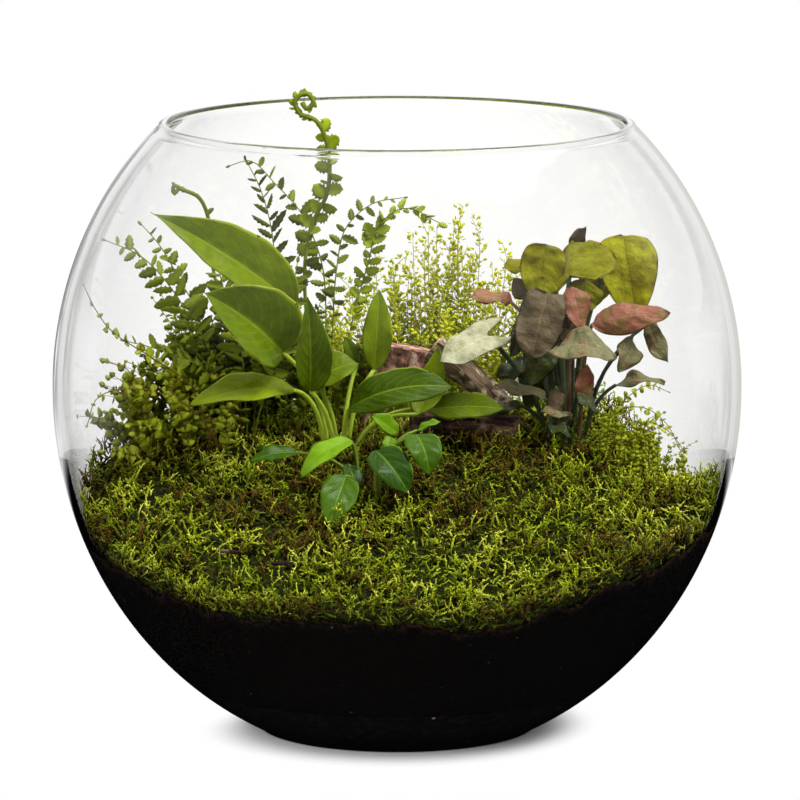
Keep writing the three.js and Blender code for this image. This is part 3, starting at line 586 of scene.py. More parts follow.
def makeMossBed():
    # the felted lower layer that the shoots stand out of, its edge a little back from the glass
    back = bowl["wall"] + fill["bedInset"]
    bm = startMesh()
    made = bmesh.ops.create_grid(bm, x_segments=fill["cells"], y_segments=fill["cells"], size=1)["verts"]
    reach = {}
    for v in made:
        u, w = v.co.x, v.co.y
        flat = Vector((u * math.sqrt(1 - w * w / 2), w * math.sqrt(1 - u * u / 2)))  # square to disc
        turn, share = math.atan2(flat.y, flat.x), flat.length
        key = round(turn, 3)
        if key not in reach:
            reach[key] = hillAtWall(turn, back)
        r = reach[key][0] * share
        x, y = r * math.cos(turn), r * math.sin(turn)
        v.co = Vector((x, y, hill(x, y) - fill["bedSunk"] + knots(x, y) * clamp((1.02 - share) * 12)))
    for face in bm.faces:
        face.smooth = True
    lower = bmesh.ops.extrude_face_region(bm, geom=bm.faces[:], use_keep_orig=True)["geom"]
    for v in (g for g in lower if isinstance(g, bmesh.types.BMVert)):
        z = v.co.z - fill["mossDepth"] + 3
        if v.co.xy.length > 30:
            v.co *= min(1.0, wallRadius(z, back) / max(wallRadius(v.co.z, back), 1))
        v.co.z = z
    finishPiece(bm, "mossBed", makeFeltMaterial(), ["moss_carpet"])


makeFill()
makeMossBed()
print("soil and moss bed filled")


mossTufts = {"count": 1750, "shoots": (4, 8), "spread": 2.8, "length": (6.0, 11.0), "longShare": 0.05,
             "longest": 15, "flow": 1.6, "stray": 0.62, "sunk": 4.4, "within": 146, "backFrom": 40,
             "backThin": 0.4, "seed": 5, "pieces": 4, "leaves": 6}
# shoots that the glass presses flat, fewer towards the soil below
wallMoss = {"count": 1500, "inset": 0.8, "fade": 3.6, "lowest": 13, "raised": 1.5, "deep": (0.9, 2.2),
            "length": (5.0, 9.5)}
shootBends = ((0.5, 0.05), (1.2, 0.12), (1.8, -0.1), (2.5, 0.06), (0.9, -0.2))
# patches of old brown or fresh yellow moss: (x, y, radius, how far the colour shifts)
mossPatches = [(-58, -42, 17, -0.5), (-90, 36, 16, -0.4), (-14, -84, 16, 0.3), (-82, -62, 18, 0.1),
               (40, -95, 26, 0.1), (86, -40, 26, 0.1), (-30, 5, 22, -0.3), (68, 10, 26, -0.35),
               (12, -34, 24, -0.25), (-52, 22, 18, 0.3), (112, 10, 22, 0.22), (30, 20, 20, -0.35),
               (88, -12, 9, -0.4)]
twigs = {
    "twig_1": {"from": (-78, -70), "to": (-66, -74), "girth": 1.6},
    "twig_2": {"from": (-56, -85), "to": (-44, -88), "girth": 1.8},
}
twigClear = {"front": 3.0, "reach": 4.2}


def shootTemplate(hook, wave, rings=4):
    # one leafy shoot of unit length: a three-sided stem bent over by hook radians, its leaves small spikes
    bm = startMesh()
    uvLayer = bm.loops.layers.uv["UVMap"]

    def heart(t):
        return Vector(((1 - math.cos(hook * t)) / hook, wave * math.sin(3.4 * t), math.sin(hook * t) / hook))

    def place(i, j):
        return heart(j / rings) + polar(1, 2 * math.pi * i / 3 + 0.9 * j) * (0.05 if j < rings else 0.03)
    rolledGrid(bm, 3, rings, place)
    for k in range(mossTufts["leaves"]):
        t = 0.3 + 0.68 * k / (mossTufts["leaves"] - 1)
        turn = polar(1, 2.4 * k, 0.9).to_track_quat("Z", "Y").to_matrix()
        spike = bmesh.ops.create_cone(bm, segments=3, radius1=0.05, radius2=0, depth=0.17, cap_ends=True)
        made = spike["verts"]
        for v in made:
            v.co = heart(t) + turn @ (v.co + Vector((0, 0, 0.07)))
        for face in {f for v in made for f in v.link_faces}:
            for loop in face.loops:
                loop[uvLayer].uv = (0.5, t)
    return templateOf(bm)


def byTwig(x, y):
    # the moss is thin where a twig lies on it, and just in front of that
    for twig in twigs.values():
        a, b = Vector(twig["from"]), Vector(twig["to"])
        spot = Vector((x, y + twigClear["front"]))
        share = clamp((spot - a).dot(b - a) / (b - a).length_squared)
        if (spot - a.lerp(b, share)).length < twigClear["reach"]:
            return True
    return False


def mossTint(x, y):
    near = sum(by * math.exp(-((x - px) ** 2 + (y - py) ** 2) / size ** 2)
               for px, py, size, by in mossPatches)
    return 0.46 + near + 0.56 * lumps(x, y, 30, 23) + 0.34 * lumps(x, y, 10, 29)


def makeMossMaterial():
    # pleurocarpous moss: wet yellow-green tips over old brown-olive stems, thin enough to glow
    newMaterial("livingMossShoots")
    along = addNode("SeparateXYZ", addNode("UVMap")).outputs["Y"]
    # each shoot is yellower and lighter towards its tip: partly the colour of young growth, partly a painted
    # highlight on the lit tips
    tint = addNode("Attribute", attribute_name="tint").outputs["Fac"]
    tipward = addNode("multiply", addNode("subtract", along, 0.6), 0.4)
    ramp = addNode("ValToRGB", addNode("add", tint, tipward))
    stops = {0.0: "40260f", 0.18: "7a4f1e", 0.33: "5c5a0e", 0.52: "80900e", 0.76: "b4be20", 1.0: "e4e458"}
    elements = ramp.color_ramp.elements
    while len(elements) < len(stops):
        elements.new(0.5)
    for element, (at, colour) in zip(elements, stops.items()):
        element.position, element.color = at, linear(colour)
    speckle = addNode("TexNoise", addNode("TexCoord").outputs["Object"], 1 / (0.9 * mm), 2.0)
    # the base of each shoot fades to near black: painted shade deep in the mat
    body = layered(ramp, (addNode("ease", speckle, 0.35, 0.7, 0.0, 0.35), "6a8410"),
                   (addNode("ease", along, 0.1, 0.75, 0.92, 0.0), "1a1206"))
    skin = addNode("BsdfPrincipled", {"Base Color": body, "Roughness": 0.55, "Specular IOR Level": 0.3})
    flesh = addNode("BsdfTranslucent", addNode("tintColour", 0.5, body, "c9d83a"))
    return finishMaterial(addNode("MixShader", 0.35, skin, flesh))


def tuftShoots(rng):
    # tufts all over the hill, as (root, direction, length, tint)
    tufts, shoots, made = mossTufts, [], 0
    while made < tufts["count"]:
        x, y = rng.uniform(-tufts["within"], tufts["within"], 2)
        if math.hypot(x, y) > wallRadius(hill(x, y), bowl["wall"] + wallMoss["inset"]):
            continue
        if y > tufts["backFrom"] and rng.random() < tufts["backThin"]:
            continue  # the back is hidden by plants and is thinner
        made += 1
        flow = Vector((lumps(x, y, 16, 11), lumps(x, y, 16, 17), 0)) * tufts["flow"]
        lean = flow + Vector((rng.normal(0, 0.4), rng.normal(0, 0.4) - 0.15, 0.9))
        tint = mossTint(x, y) + rng.normal(0, 0.1)
        raised = rng.normal(0, 1.4)
        for _ in range(rng.integers(*tufts["shoots"])):
            sx, sy = x + rng.normal(0, tufts["spread"]), y + rng.normal(0, tufts["spread"])
            root = Vector((sx, sy, hill(sx, sy) + knots(sx, sy) - tufts["sunk"] + raised))
            up = lean + Vector(rng.normal(0, tufts["stray"], 3))
            up.z = max(up.z, -0.1)
            length = rng.uniform(*tufts["length"]) * (1 + 0.3 * lumps(x, y, 14, 31))
            if rng.random() < tufts["longShare"]:
                length = tufts["longest"] * rng.uniform(0.8, 1)
                up = Vector((rng.normal(0, 0.2), rng.normal(0, 0.2), 1))
            shade = tint + rng.normal(0, 0.12)
            if not byTwig(sx, sy):
                shoots.append((root[:], up[:], length, shade))
    return shoots


def wallShoots(rng):
    shoots = []
    for _ in range(wallMoss["count"]):
        turn = rng.uniform(0, 2 * math.pi)
        line = hillAtWall(turn, bowl["wall"] + wallMoss["inset"])[1]
        ragged = 3.4 * lumps(turn * 60, 0, 7, 3) + 1.6 * lumps(turn * 60, 0, 2.5, 4)
        down = min(rng.exponential(wallMoss["fade"]), wallMoss["lowest"])
        z = line - down + ragged + wallMoss["raised"]
        root = polar(wallRadius(z, bowl["wall"] + rng.uniform(*wallMoss["deep"])), turn, z)
        around = Vector((-math.sin(turn), math.cos(turn), 0))
        spin = rng.normal(0, 0.75)
        up = around * math.sin(spin) + polar(0.35, turn, 1) * math.cos(spin)
        tint = mossTint(root.x, root.y) + rng.normal(0, 0.14) - 0.05 * max(0, down - 2)
        shoots.append((root[:], up[:], rng.uniform(*wallMoss["length"]), tint))
    return shoots


def makeMoss():
    rng = np.random.default_rng(mossTufts["seed"])
    templates = [shootTemplate(*bend) for bend in shootBends]
    roots, ups, lengths, tints = columnsOf(tuftShoots(rng) + wallShoots(rng))
    tints = np.clip(tints, 0, 1)
    sides = rng.normal(0, 1, roots.shape)
    widths = np.minimum(lengths, 9) * rng.uniform(0.8, 1.15, len(roots))
    places = placesFrom(roots, ups, sides, lengths, widths)
    material = makeMossMaterial()
    share = np.arange(len(roots)) % mossTufts["pieces"]
    kind = rng.integers(0, len(templates), len(roots))
    for k in range(mossTufts["pieces"]):
        chosen = [(share == k) & (kind == n) for n in range(len(templates))]
        batches = [(shape, places[these], tints[these]) for shape, these in zip(templates, chosen)]
        repeated(f"mossShoots{k + 1}", material, batches)


makeMoss()
print("moss grown")


leafGrid = {"stalkRows": 9, "rows": 42, "columns": 16, "smallRows": 24, "smallColumns": 10,
            "broad": 15, "thick": 0.34, "elbow": 0.06}
leafShape = {"stalk": 2, "arch": 0, "lobes": 0, "rise": 0.7, "fold": 0, "twist": 0, "ruffle": 0.5, "waves": 2,
             "belly": 0.6, "point": 1, "pleat": 0.2, "pleats": 8, "wrinkle": 0.8, "tint": 0.5}
leafLook = {"veins": 9, "sweep": 0.3, "veinWidth": 0.16, "veinShare": 0.35, "midrib": 1.0, "blotch": None,
            "blotchShare": 0.5, "edge": None, "rough": 0.34, "wax": 0.5, "glow": 0.42, "relief": 0.25,
            "depth": 0.4, "grain": 0.8, "crumple": 0.0}


def blade(base, tip, face, width, **more):
    # a leaf: where its blade starts and ends, the way it faces, and how wide it is
    return {"base": base, "tip": tip, "face": face, "width": width, **more}


def halfWidth(t, leaf):
    # half the width of a blade; a low belly puts the widest place near the base
    start = 0.04 if leaf["lobes"] > 0 else 0.0
    belly, point = leaf["belly"], leaf["point"]
    widest = (belly - start * point) / (belly + point)
    shapeAt, shapeMost = ((s + start) ** belly * (1 - s) ** point for s in (t, widest))
    return leaf["width"] / 2 * shapeAt / shapeMost


def addLeaf(bm, spec, foot):
    # a round stalk that opens into a thin blade with a keel below its midrib
    leaf = {**leafShape, **spec}
    foot, base, tip, face = (Vector(p) for p in (foot, leaf["base"], leaf["tip"], leaf["face"]))
    stalk, seed = leaf["stalk"], base.x * 0.37
    up = frameOf((tip - base).normalized(), face)[1]
    bow = base.lerp(tip, 0.5) + up * 2 * leaf["arch"]
    elbow = foot.lerp(base, leafGrid["elbow"])
    elbow.z = mix(foot.z, base.z, leaf["rise"])
    across = frameOf(bezierAhead(base, bow, tip, 0), face)[0]
    small = leaf["width"] <= leafGrid["broad"]
    columns = leafGrid["smallColumns" if small else "columns"]
    rows = leafGrid["smallRows" if small else "rows"]
    stalkRows = leafGrid["stalkRows"]

    spine = []
    for j in range(stalkRows):
        t = 0.98 * j / (stalkRows - 1)
        ahead = bezierAhead(foot, elbow, base, t)
        up = across.cross(ahead).normalized()
        spine.append((bezier(foot, elbow, base, t), ahead.cross(up), up, stalk / 2 * (1.15 - 0.25 * t)))
    for j in range(rows + 1):
        t = (j / rows) ** 1.15
        ahead = bezierAhead(base, bow, tip, t)
        side, up = frameOf(ahead, face)
        swing = Matrix.Rotation(math.radians(leaf["twist"] * t), 3, ahead)
        edge = 1 + 0.05 * noise.noise(Vector((t * 7, seed, 0)))
        half = max(halfWidth(t, leaf) * edge if 0 < t < 1 else 0, 0.12, stalk / 2 * (1 - 4 * t))
        spine.append((bezier(base, bow, tip, t), swing @ side, swing @ up, half, ahead, t))
    fold = math.radians(leaf["fold"])

    def place(i, j):
        if j < stalkRows:
            middle, side, up, radius = spine[j]
            turn = math.pi * i / columns
            return middle + side * (math.cos(turn) * radius) + up * (math.sin(turn) * radius)
        middle, side, up, half, ahead, t = spine[j]
        s = acrossShare(i, columns)
        far = abs(s)
        spot = middle + side * (s * half * math.cos(fold))
        lift = far * half * math.sin(fold)
        lift += leaf["ruffle"] * s * s * math.sin(2 * math.pi * (leaf["waves"] * t + math.copysign(0.2, s)))
        veined = math.cos(2 * math.pi * leaf["pleats"] * (t - 0.3 * far ** 1.5))
        lift += leaf["pleat"] * veined * 4 * far * (1 - far) * min(1, half / 5)
        body = leafGrid["thick"] / 2 * (1 - far ** 6)
        near = math.exp(-(s * half / (0.5 * stalk)) ** 2) * (1 - t) ** 0.7
        if 0 < i < columns:
            lift += body - 0.35 * near * min(1, 6 * t)
        elif i > columns:
            lift -= body + 0.42 * stalk * near
        spot += up * lift
        if j > stalkRows:
            spot -= ahead * (leaf["lobes"] * far ** 1.2 * (1 - t) ** 2)
            rough = noise.noise(spot / 9 + Vector((seed, 0, 0))) + 0.4 * noise.noise(spot / 3.5)
            spot += up * (leaf["wrinkle"] * rough * min(1, far * half / 4))
        return spot

    def uvOf(i, j):
        return acrossShare(i, columns), j / stalkRows - 1 if j < stalkRows else spine[j][5]

    rolledGrid(bm, 2 * columns, stalkRows + rows, place, uvOf, leaf["tint"], lambda i, j: float(i > columns))


def makeLeafMaterial(name, **changes):
    # living leaf: waxy skin over thin green flesh that light shines through, veins from the leaf's own UV
    look = {**leafLook, **changes}
    newMaterial(name)
    across, along, _ = addNode("SeparateXYZ", addNode("UVMap")).outputs
    tint, underside = (addNode("Attribute", attribute_name=layer).outputs["Fac"] for layer in meshLayers)
    far = addNode("absolute", across)
    place = addNode("TexCoord").outputs["Object"]
    cloud = addNode("TexNoise", place, 1 / (6 * mm), 3.0)
    cells = addNode("TexNoise", place, 1 / (0.7 * mm), 2.0)
    swept = addNode("multiply", addNode("power", far, 1.5), look["sweep"])
    course = addNode("multiply", addNode("subtract", along, swept), look["veins"])
    veins = addNode("ease", addNode("pingpong", course, 0.5), look["veinWidth"], 0.0)
    veins = addNode("multiply", veins, addNode("ease", far, 1.0, 0.75))
    fine = addNode("ease", addNode("pingpong", addNode("multiply", course, 4.0), 0.5), 0.3, 0.0)
    veins = addNode("maximum", veins, addNode("multiply", fine, 0.35))
    midrib = addNode("ease", far, 0.075, 0.02, 0.0, look["midrib"])
    lines = addNode("maximum", addNode("multiply", veins, look["veinShare"]), midrib)

    body = layered(look["dark"], (tint, look["light"]))
    body = layered(body, (addNode("ease", cloud, 0.3, 0.7, 0.0, 0.5), layered(body, (0.55, look["dark"]))))
    if look["blotch"]:
        body = layered(body, (addNode("ease", cloud, 0.5, 0.62, 0.0, look["blotchShare"]), look["blotch"]))
    body = layered(body, (lines, layered(body, (0.6, look["vein"]))),
                   (addNode("multiply", underside, 0.6), look["under"]))
    if look["edge"]:
        body = layered(body, (addNode("ease", far, 0.93, 1.0, 0.0, 0.8), look["edge"]))
    body = layered(body, (addNode("ease", along, 0.01, -0.01), look["stalk"]))

    height = addNode("multiply", lines, -0.6)
    for pattern, share in ((cells, look["grain"]), (cloud, look["crumple"])):
        height = addNode("add", height, addNode("multiply", pattern, share))
    relief = addNode("Bump", {"Height": height, "Strength": look["relief"], "Distance": look["depth"] * mm})
    skin = addNode("BsdfPrincipled", {"Base Color": body, "Roughness": look["rough"],
                                      "Specular IOR Level": look["wax"], "Normal": relief})
    flesh = addNode("BsdfTranslucent", addNode("tintColour", 1.0, body, look["through"]), relief)
    return finishMaterial(addNode("MixShader", look["glow"], skin, flesh))


# the middle of each hole that stems stand in
crowns = {
    "lily": (-26, 22), "young": (-12, -28), "arrowhead": (75, 40), "fernLeft": (-68, 48),
    "fernBack": (-32, 68), "spike1": (-8, 102), "spike2": (9, 104), "spike3": (26, 102),
    "spike4": (43, 96), "trail": (-80, 20), "sprig": (93, 22), "sprigBack": (92, 60),
}
holes = {"depth": 11, "gap": 0.35}
stub = {"height": 8, "girth": 4.2, "inset": 1.2, "around": 12, "rings": 5}


def footIn(crown, offset=(0, 0)):
    # a stem's foot, just off the floor of its hole
    x, y = crowns[crown]
    return Vector((x + offset[0], y + offset[1], hill(x, y) - holes["depth"] + holes["gap"]))


def addLeafyStem(bm, crown, offset, leaves, common):
    # leaves whose stalks stand side by side on one short stub
    foot = footIn(crown, offset)

    def place(i, j):
        radius = stub["girth"] / 2 * (1 + 0.12 * math.cos(2.2 * j))
        return foot + polar(radius, 2 * math.pi * i / stub["around"], stub["height"] * j / stub["rings"])
    rolledGrid(bm, stub["around"], stub["rings"], place, lambda i, j: (2 * i / stub["around"] - 1, -0.5))
    for i, leaf in enumerate(leaves):
        turn = math.atan2(leaf["base"][1] - foot.y, leaf["base"][0] - foot.x)
        out = stub["inset"] if len(leaves) > 1 else 0
        addLeaf(bm, {**common, **leaf}, foot + polar(out, turn, stub["height"] / 2 + 0.5 * i))


# each leaf's tint is partly its own green and partly painted light and shade: leaves that light shines
# through are set lighter, shaded ones darker
lilyLeaves = [
    blade((-45, 34, 181), (-108, 20, 224), (0.2, -0.85, 0.5), 31, tint=0.75, foot=(-4, 5), arch=5, fold=28,
          belly=0.7, point=1.25, ruffle=0.8, waves=1.5),
    blade((-50, 12, 163), (-84, 2, 191), (0.45, -0.85, 0.3), 40, tint=0.5, foot=(-4, -1), arch=5, fold=32,
          belly=0.55, point=1.05, ruffle=1.0, waves=1.5),
    blade((-38, 6, 147), (-39, 2, 189), (0.35, -0.9, 0), 20, tint=0.35, foot=(-1, -5), arch=2, fold=30,
          belly=0.6, point=1.1),
    blade((-45, 8, 147), (-90, -8, 143), (0, -0.55, 0.85), 19, tint=1.0, foot=(-5.5, -4), arch=5, fold=10,
          belly=0.7, point=0.9, rise=0.9),
    blade((-36, 22, 148), (-17, 26, 156), (-0.3, -0.7, 0.7), 20, tint=0.6, foot=(0, 5.5), arch=3, fold=15,
          belly=0.6, point=0.9),
    blade((-10, 34, 152), (-8, 40, 187), (0.1, -1, 0.1), 14, tint=0.75, foot=(4, 6), arch=2, fold=18,
          belly=0.6, point=0.9),
    blade((-21, 8, 139), (24, 0, 150), (-0.15, -0.75, 0.6), 20, tint=0.15, foot=(2.5, -4), arch=8, fold=8,
          belly=0.6, point=0.7, ruffle=1.2),
    blade((9, 9, 136), (18, 20, 165), (-0.5, -0.8, 0), 14, tint=1.0, foot=(6.5, -2.5), arch=-4, fold=12,
          belly=0.5, point=1, twist=30, rise=1),
    blade((14, 19, 137), (47, 14, 138), (0, -0.75, 0.65), 15, tint=0.5, foot=(7, 1.5), arch=2, fold=8,
          belly=0.6, point=0.8, rise=1),
    blade((-18, 36, 153), (-23, 38, 166), (0.3, -1, 0.2), 7, tint=0.5, foot=(2, 2), arch=1, fold=10,
          belly=0.7, point=0.8),
]


def makeLily():
    material = makeLeafMaterial(
        "lilyLeafSkin", dark="264404", light="7a8c08", under="8c961c", vein="869a1c", stalk="a8be3e",
        through="dcd814", edge="a3a92c", rough=0.22, wax=0.32, relief=0.6, veins=8, sweep=0.4, depth=0.5,
        grain=0.3, crumple=2.5)
    for i, leaf in enumerate(lilyLeaves):
        bm = startMesh()
        addLeaf(bm, leaf, footIn("lily", leaf["foot"]))
        finishPiece(bm, f"lilyLeaf{i + 1}", material, [f"peace_lily_leaf_{i + 1}"])


makeLily()
print("lily grown")


youngShape = {"stalk": 1.4, "belly": 0.5, "point": 0.75, "fold": 10, "rise": 0.9, "pleats": 4, "pleat": 0.16,
              "wrinkle": 0.6}
# (foot, leaves)
# each leaf's tint is partly its own green and partly painted light and shade: the leaf that light shines
# through is set lighter, shaded ones darker
youngStems = [
    ((-3, -1), [
        blade((-20, -30, 131), (-41, -42, 117), (-0.3, -0.6, 0.75), 13, arch=4, tint=0.72),
        blade((-22, -38, 117), (-29, -57, 99), (0, -0.9, 0.45), 16, arch=2, tint=0.2),
        blade((-44, -8, 122), (-64, -14, 119), (0, -0.5, 0.9), 10, arch=2, rise=1.15, tint=0.1),
        blade((-21, -27, 120), (-17, -37, 110), (0.2, -0.7, 0.7), 9, arch=1, tint=0.1),
    ]),
    ((1.5, -3), [
        blade((-9, -32, 127), (5, -46, 111), (0.1, -0.8, 0.6), 17, arch=3, tint=0.05),
        blade((-3, -26, 132), (-4, -31, 125), (0, -0.9, 0.5), 6, arch=1),
    ]),
    ((2.5, 2), [
        blade((8, -26, 133), (14, -40, 118), (0.2, -0.75, 0.6), 16, arch=4, tint=0.15),
        blade((0, -20, 133), (-11, -24, 141), (0.2, -0.8, 0.6), 9, arch=1),
        blade((9, -20, 134), (19, -22, 138), (0, -0.5, 0.9), 5, arch=1),
    ]),
]


def makeYoungPlant():
    material = makeLeafMaterial(
        "youngLeafSkin", dark="143204", light="84b014", under="5a7a14", vein="5f8a18", stalk="6a7f2a",
        through="b4c810", edge="7fa81e", rough=0.16, relief=0.5, veins=6, sweep=0.5, wax=0.32, veinShare=0.25,
        glow=0.3, grain=0.4, crumple=2.0)
    for i, (foot, leaves) in enumerate(youngStems):
        bm = startMesh()
        addLeafyStem(bm, "young", foot, leaves, youngShape)
        finishPiece(bm, f"youngStem{i + 1}", material, [f"young_plant_stem_{i + 1}"])


makeYoungPlant()
print("young plant grown")


arrowheadShape = {"stalk": 1.7, "belly": 0.5, "point": 0.8, "pleats": 5, "pleat": 0.2, "wrinkle": 2.0,
                  "ruffle": 1.6, "waves": 1.4}
arrowheadSkin = {"rough": 0.28, "veins": 5, "sweep": 0.5, "relief": 0.8, "veinShare": 0.2, "midrib": 0.4,
                 "wax": 0.5, "grain": 0.4, "crumple": 7.0}
arrowheadColours = {
    "olive": dict(dark="606404", light="a4a40e", under="9c9614", vein="726c0c", stalk="6c7a54",
                  through="fff024", edge="8f6a34", blotch="7a6a0c", blotchShare=0.35, glow=0.5,
                  veinShare=0.6, veinWidth=0.07, wax=0.25, midrib=0.8),
    "pink": dict(dark="6a4028", light="bc8068", under="a87050", vein="c09878", stalk="8a6f54",
                 through="ffaa80", edge="7a6a3a", blotch="7f6a34", blotchShare=0.7),
    "taupe": dict(dark="352b1c", light="6f5f46", under="6a5a3c", vein="857559", stalk="4f5a44",
                  through="c8a070", edge="4a3c28", blotch="4f4a2c", rough=0.45, glow=0.25, wax=0.3),
    "pale": dict(dark="90906c", light="c4c4a4", under="a8a878", vein="dcdcb4", stalk="46563a",
                 through="f0ecc0", edge="8a9048", blotch="8a865a"),
    "sage": dict(dark="4c5030", light="9c9768", under="8a7550", vein="b4b08a", stalk="55644c",
                 through="e0d880", edge="986a4c", blotch="8a6246"),
    # shade is the olive leaf darkened: painted shade for the small leaves deep in the clump
    "shade": dict(dark="1c220c", light="444c1e", under="3a3c18", vein="4c5228", stalk="34402a",
                  through="a8a83a", edge="3a3218", blotch="33261a", glow=0.25),
}
# (colour, foot, leaves)
arrowheadStems = [
    ("olive", (3, 6), [
        blade((101, 57, 209), (107, 48, 173), (-0.1, -1, 0.2), 28, arch=4, belly=0.4, fold=8, tint=1.0),
        blade((90, 60, 196), (88, 54, 178), (0.3, -1, 0.2), 18, arch=3, belly=0.4),
    ]),
    ("olive", (-2.5, 6), [
        blade((76, 36, 193), (79, 56, 206), (-0.5, -0.3, 0.8), 44, arch=1, belly=0.4, lobes=7, fold=-12),
        blade((60, 54, 195), (47, 50, 195), (0, -0.5, 0.85), 10, arch=2),
    ]),
    ("taupe", (-6, -3), [
        blade((66, 21, 188), (59, 12, 161), (-0.1, -1, 0.3), 21, arch=2, belly=0.35, point=0.45, lobes=2),
        blade((57, 40, 183), (52, 42, 192), (0, -1, 0), 9),
    ]),
    ("pink", (1, -2), [
        blade((77, 27, 190), (81, 22, 171), (0.3, -1, 0.1), 13, arch=1),
        blade((50, 46, 181), (32, 42, 183), (0, -0.6, 0.8), 10, arch=2),
    ]),
    ("pink", (5.5, -2.5), [
        blade((86, 26, 174), (120, 20, 179), (0.1, -0.9, 0.5), 16, arch=4, point=0.7, fold=-20),
        blade((82, 32, 139), (84, 31, 155), (0, -1, 0), 9),
    ]),
    ("pale", (-8, 2), [
        blade((40, 22, 169), (19, 8, 159), (0.2, -0.7, 0.6), 18, arch=2, lobes=13, twist=25, stalk=2.2,
              rise=0.45),
    ]),
    ("sage", (-1, -7.3), [
        blade((71, 4, 167), (95, -8, 163), (0.1, -0.7, 0.7), 18, arch=5, belly=0.45, lobes=3),
        blade((65, 30, 140), (43, 22, 147), (0, -0.6, 0.8), 9, arch=2),
        blade((77, 24, 132), (63, 14, 136), (0, -0.5, 0.85), 8, arch=2),
    ]),
    ("sage", (8, 2), [
        blade((104, 26, 166), (97, 16, 154), (0.5, -0.8, 0.4), 12, arch=3),
        blade((112, 40, 172), (120, 30, 156), (-0.5, -0.8, 0.3), 10, arch=4),
        blade((97, 30, 146), (118, 20, 148), (0, -0.5, 0.85), 9, arch=3),
    ]),
]
# small leaves deep in the clump, with a stalk of their own that the stems above don't carry
shadedLeaves = {
    # these take the shade colour, which is painted shade
    "shade": [
        blade((58, 26, 176), (50, 20, 160), (0.3, -1, 0.2), 10, foot=(-5, -6)),
        blade((66, 24, 166), (58, 16, 148), (0.4, -0.9, 0.4), 16, foot=(-2, -5), lobes=5),
        blade((58, 34, 156), (44, 28, 150), (-0.2, -0.7, 0.7), 11, foot=(-4, 2)),
        blade((80, 20, 144), (88, 12, 136), (0.6, -0.8, 0.5), 8, foot=(2, -8)),
        blade((54, 27, 137), (41, 23, 136), (0, -0.5, 0.85), 8, foot=(-7, -1)),
        blade((68, 14, 130), (76, 4, 127), (0.2, -0.5, 0.8), 8, foot=(-2, -8)),
        blade((64, 52, 154), (58, 50, 132), (0.3, -1, 0.2), 16, foot=(-3, 8), lobes=4),
        blade((84, 54, 150), (78, 50, 131), (-0.3, -1, 0.2), 13, foot=(3, 9)),
    ],
    "taupe": [
        blade((78, 62, 202), (84, 56, 213), (0.2, -1, 0.5), 7, foot=(0, 8)),
        blade((66, 50, 194), (57, 44, 182), (0, -1, 0.1), 12, foot=(-3, 5)),
        blade((78, 34, 177), (76, 28, 160), (0.1, -1, 0.1), 13, foot=(3, 3)),
        blade((70, 24, 146), (71, 20, 130), (0.3, -1, 0.1), 8, foot=(-1, -2)),
    ],
    "olive": [
        blade((84, 48, 190), (82, 42, 176), (0.2, -1, 0.2), 17, foot=(1, 6)),
        blade((66, 40, 192), (63, 34, 180), (0, -1, 0.2), 12, foot=(-1, 4)),
        blade((66, 42, 207), (62, 38, 184), (0.1, -1, 0.3), 20, foot=(0, 5), belly=0.3, point=0.5),
    ],
}


def makeArrowhead():
    made = {colour: makeLeafMaterial(f"{colour}ArrowheadSkin", **{**arrowheadSkin, **look})
            for colour, look in arrowheadColours.items()}
    for i, (colour, foot, leaves) in enumerate(arrowheadStems):
        bm = startMesh()
        addLeafyStem(bm, "arrowhead", foot, leaves, arrowheadShape)
        finishPiece(bm, f"arrowheadStem{i + 1}", made[colour], [f"arrowhead_stem_{i + 1}"])
    for colour, leaves in shadedLeaves.items():
        bm = startMesh()
        for leaf in leaves:
            addLeaf(bm, {**arrowheadShape, **leaf}, footIn("arrowhead", leaf["foot"]) + Vector((0, 0, 5)))
        finishPiece(bm, f"{colour}ShadedLeaves", made[colour])


makeArrowhead()
print("arrowhead vine grown")


def leafletTemplate(columns, rows, outline, cup=0.0, droop=0.0, thick=0.05):
    # a leaflet of unit length and width along Z, its upper face towards -Y
    bm = startMesh()

    def place(i, j):
        t, s = j / rows, acrossShare(i, columns)
        half = outline(t) if 0 < j < rows else (0.06 if j == 0 else 0.01)
        body = thick / 2 * (1 - s ** 4) * (1 if i < columns else -1)
        return Vector((s * half, -body + cup * s * s * half + droop * t * t, t))
    rolledGrid(bm, 2 * columns, rows, place, lambda i, j: (acrossShare(i, columns), j / rows), 0.5,
               lambda i, j: float(i > columns))
    return templateOf(bm)


def ribTemplate(run, girth, tip=0.5, around=5):
    # a bare stem along a run of points
    bm = startMesh()
    side = Vector((1, 0, 0))
    frames = []
    for k in range(len(run)):
        ahead = aheadOf(run, k)
        side = (side - ahead * side.dot(ahead)).normalized()
        frames.append((side, ahead.cross(side)))

    def place(i, j):
        turn = 2 * math.pi * i / around
        radius = girth / 2 * mix(1, tip, j / (len(run) - 1))
        return run[j] + (frames[j][0] * math.cos(turn) + frames[j][1] * math.sin(turn)) * radius
    rolledGrid(bm, around, len(run) - 1, place, lambda i, j: (i / around, -1))
    return templateOf(bm)


frondShape = {"bare": 0.25, "until": 1.0, "rib": 0.9, "tipRib": 0.5, "lean": 0.3, "least": 0.3,
              "opposite": False, "more": 1.6, "tint": 0.5, "jitter": 0.24, "droop": 0.1, "overlap": 1.5,
              "steps": 70, "ribStep": 2, "ribSides": 5}


def growth(crown, foot, route, face, count, longest, broad, **more):
    # a stem with leaflets: where it stands, its route, and the number and the size of its leaflets
    return {"crown": crown, "foot": foot, "route": route, "face": face, "count": count, "longest": longest,
            "broad": broad, **more}


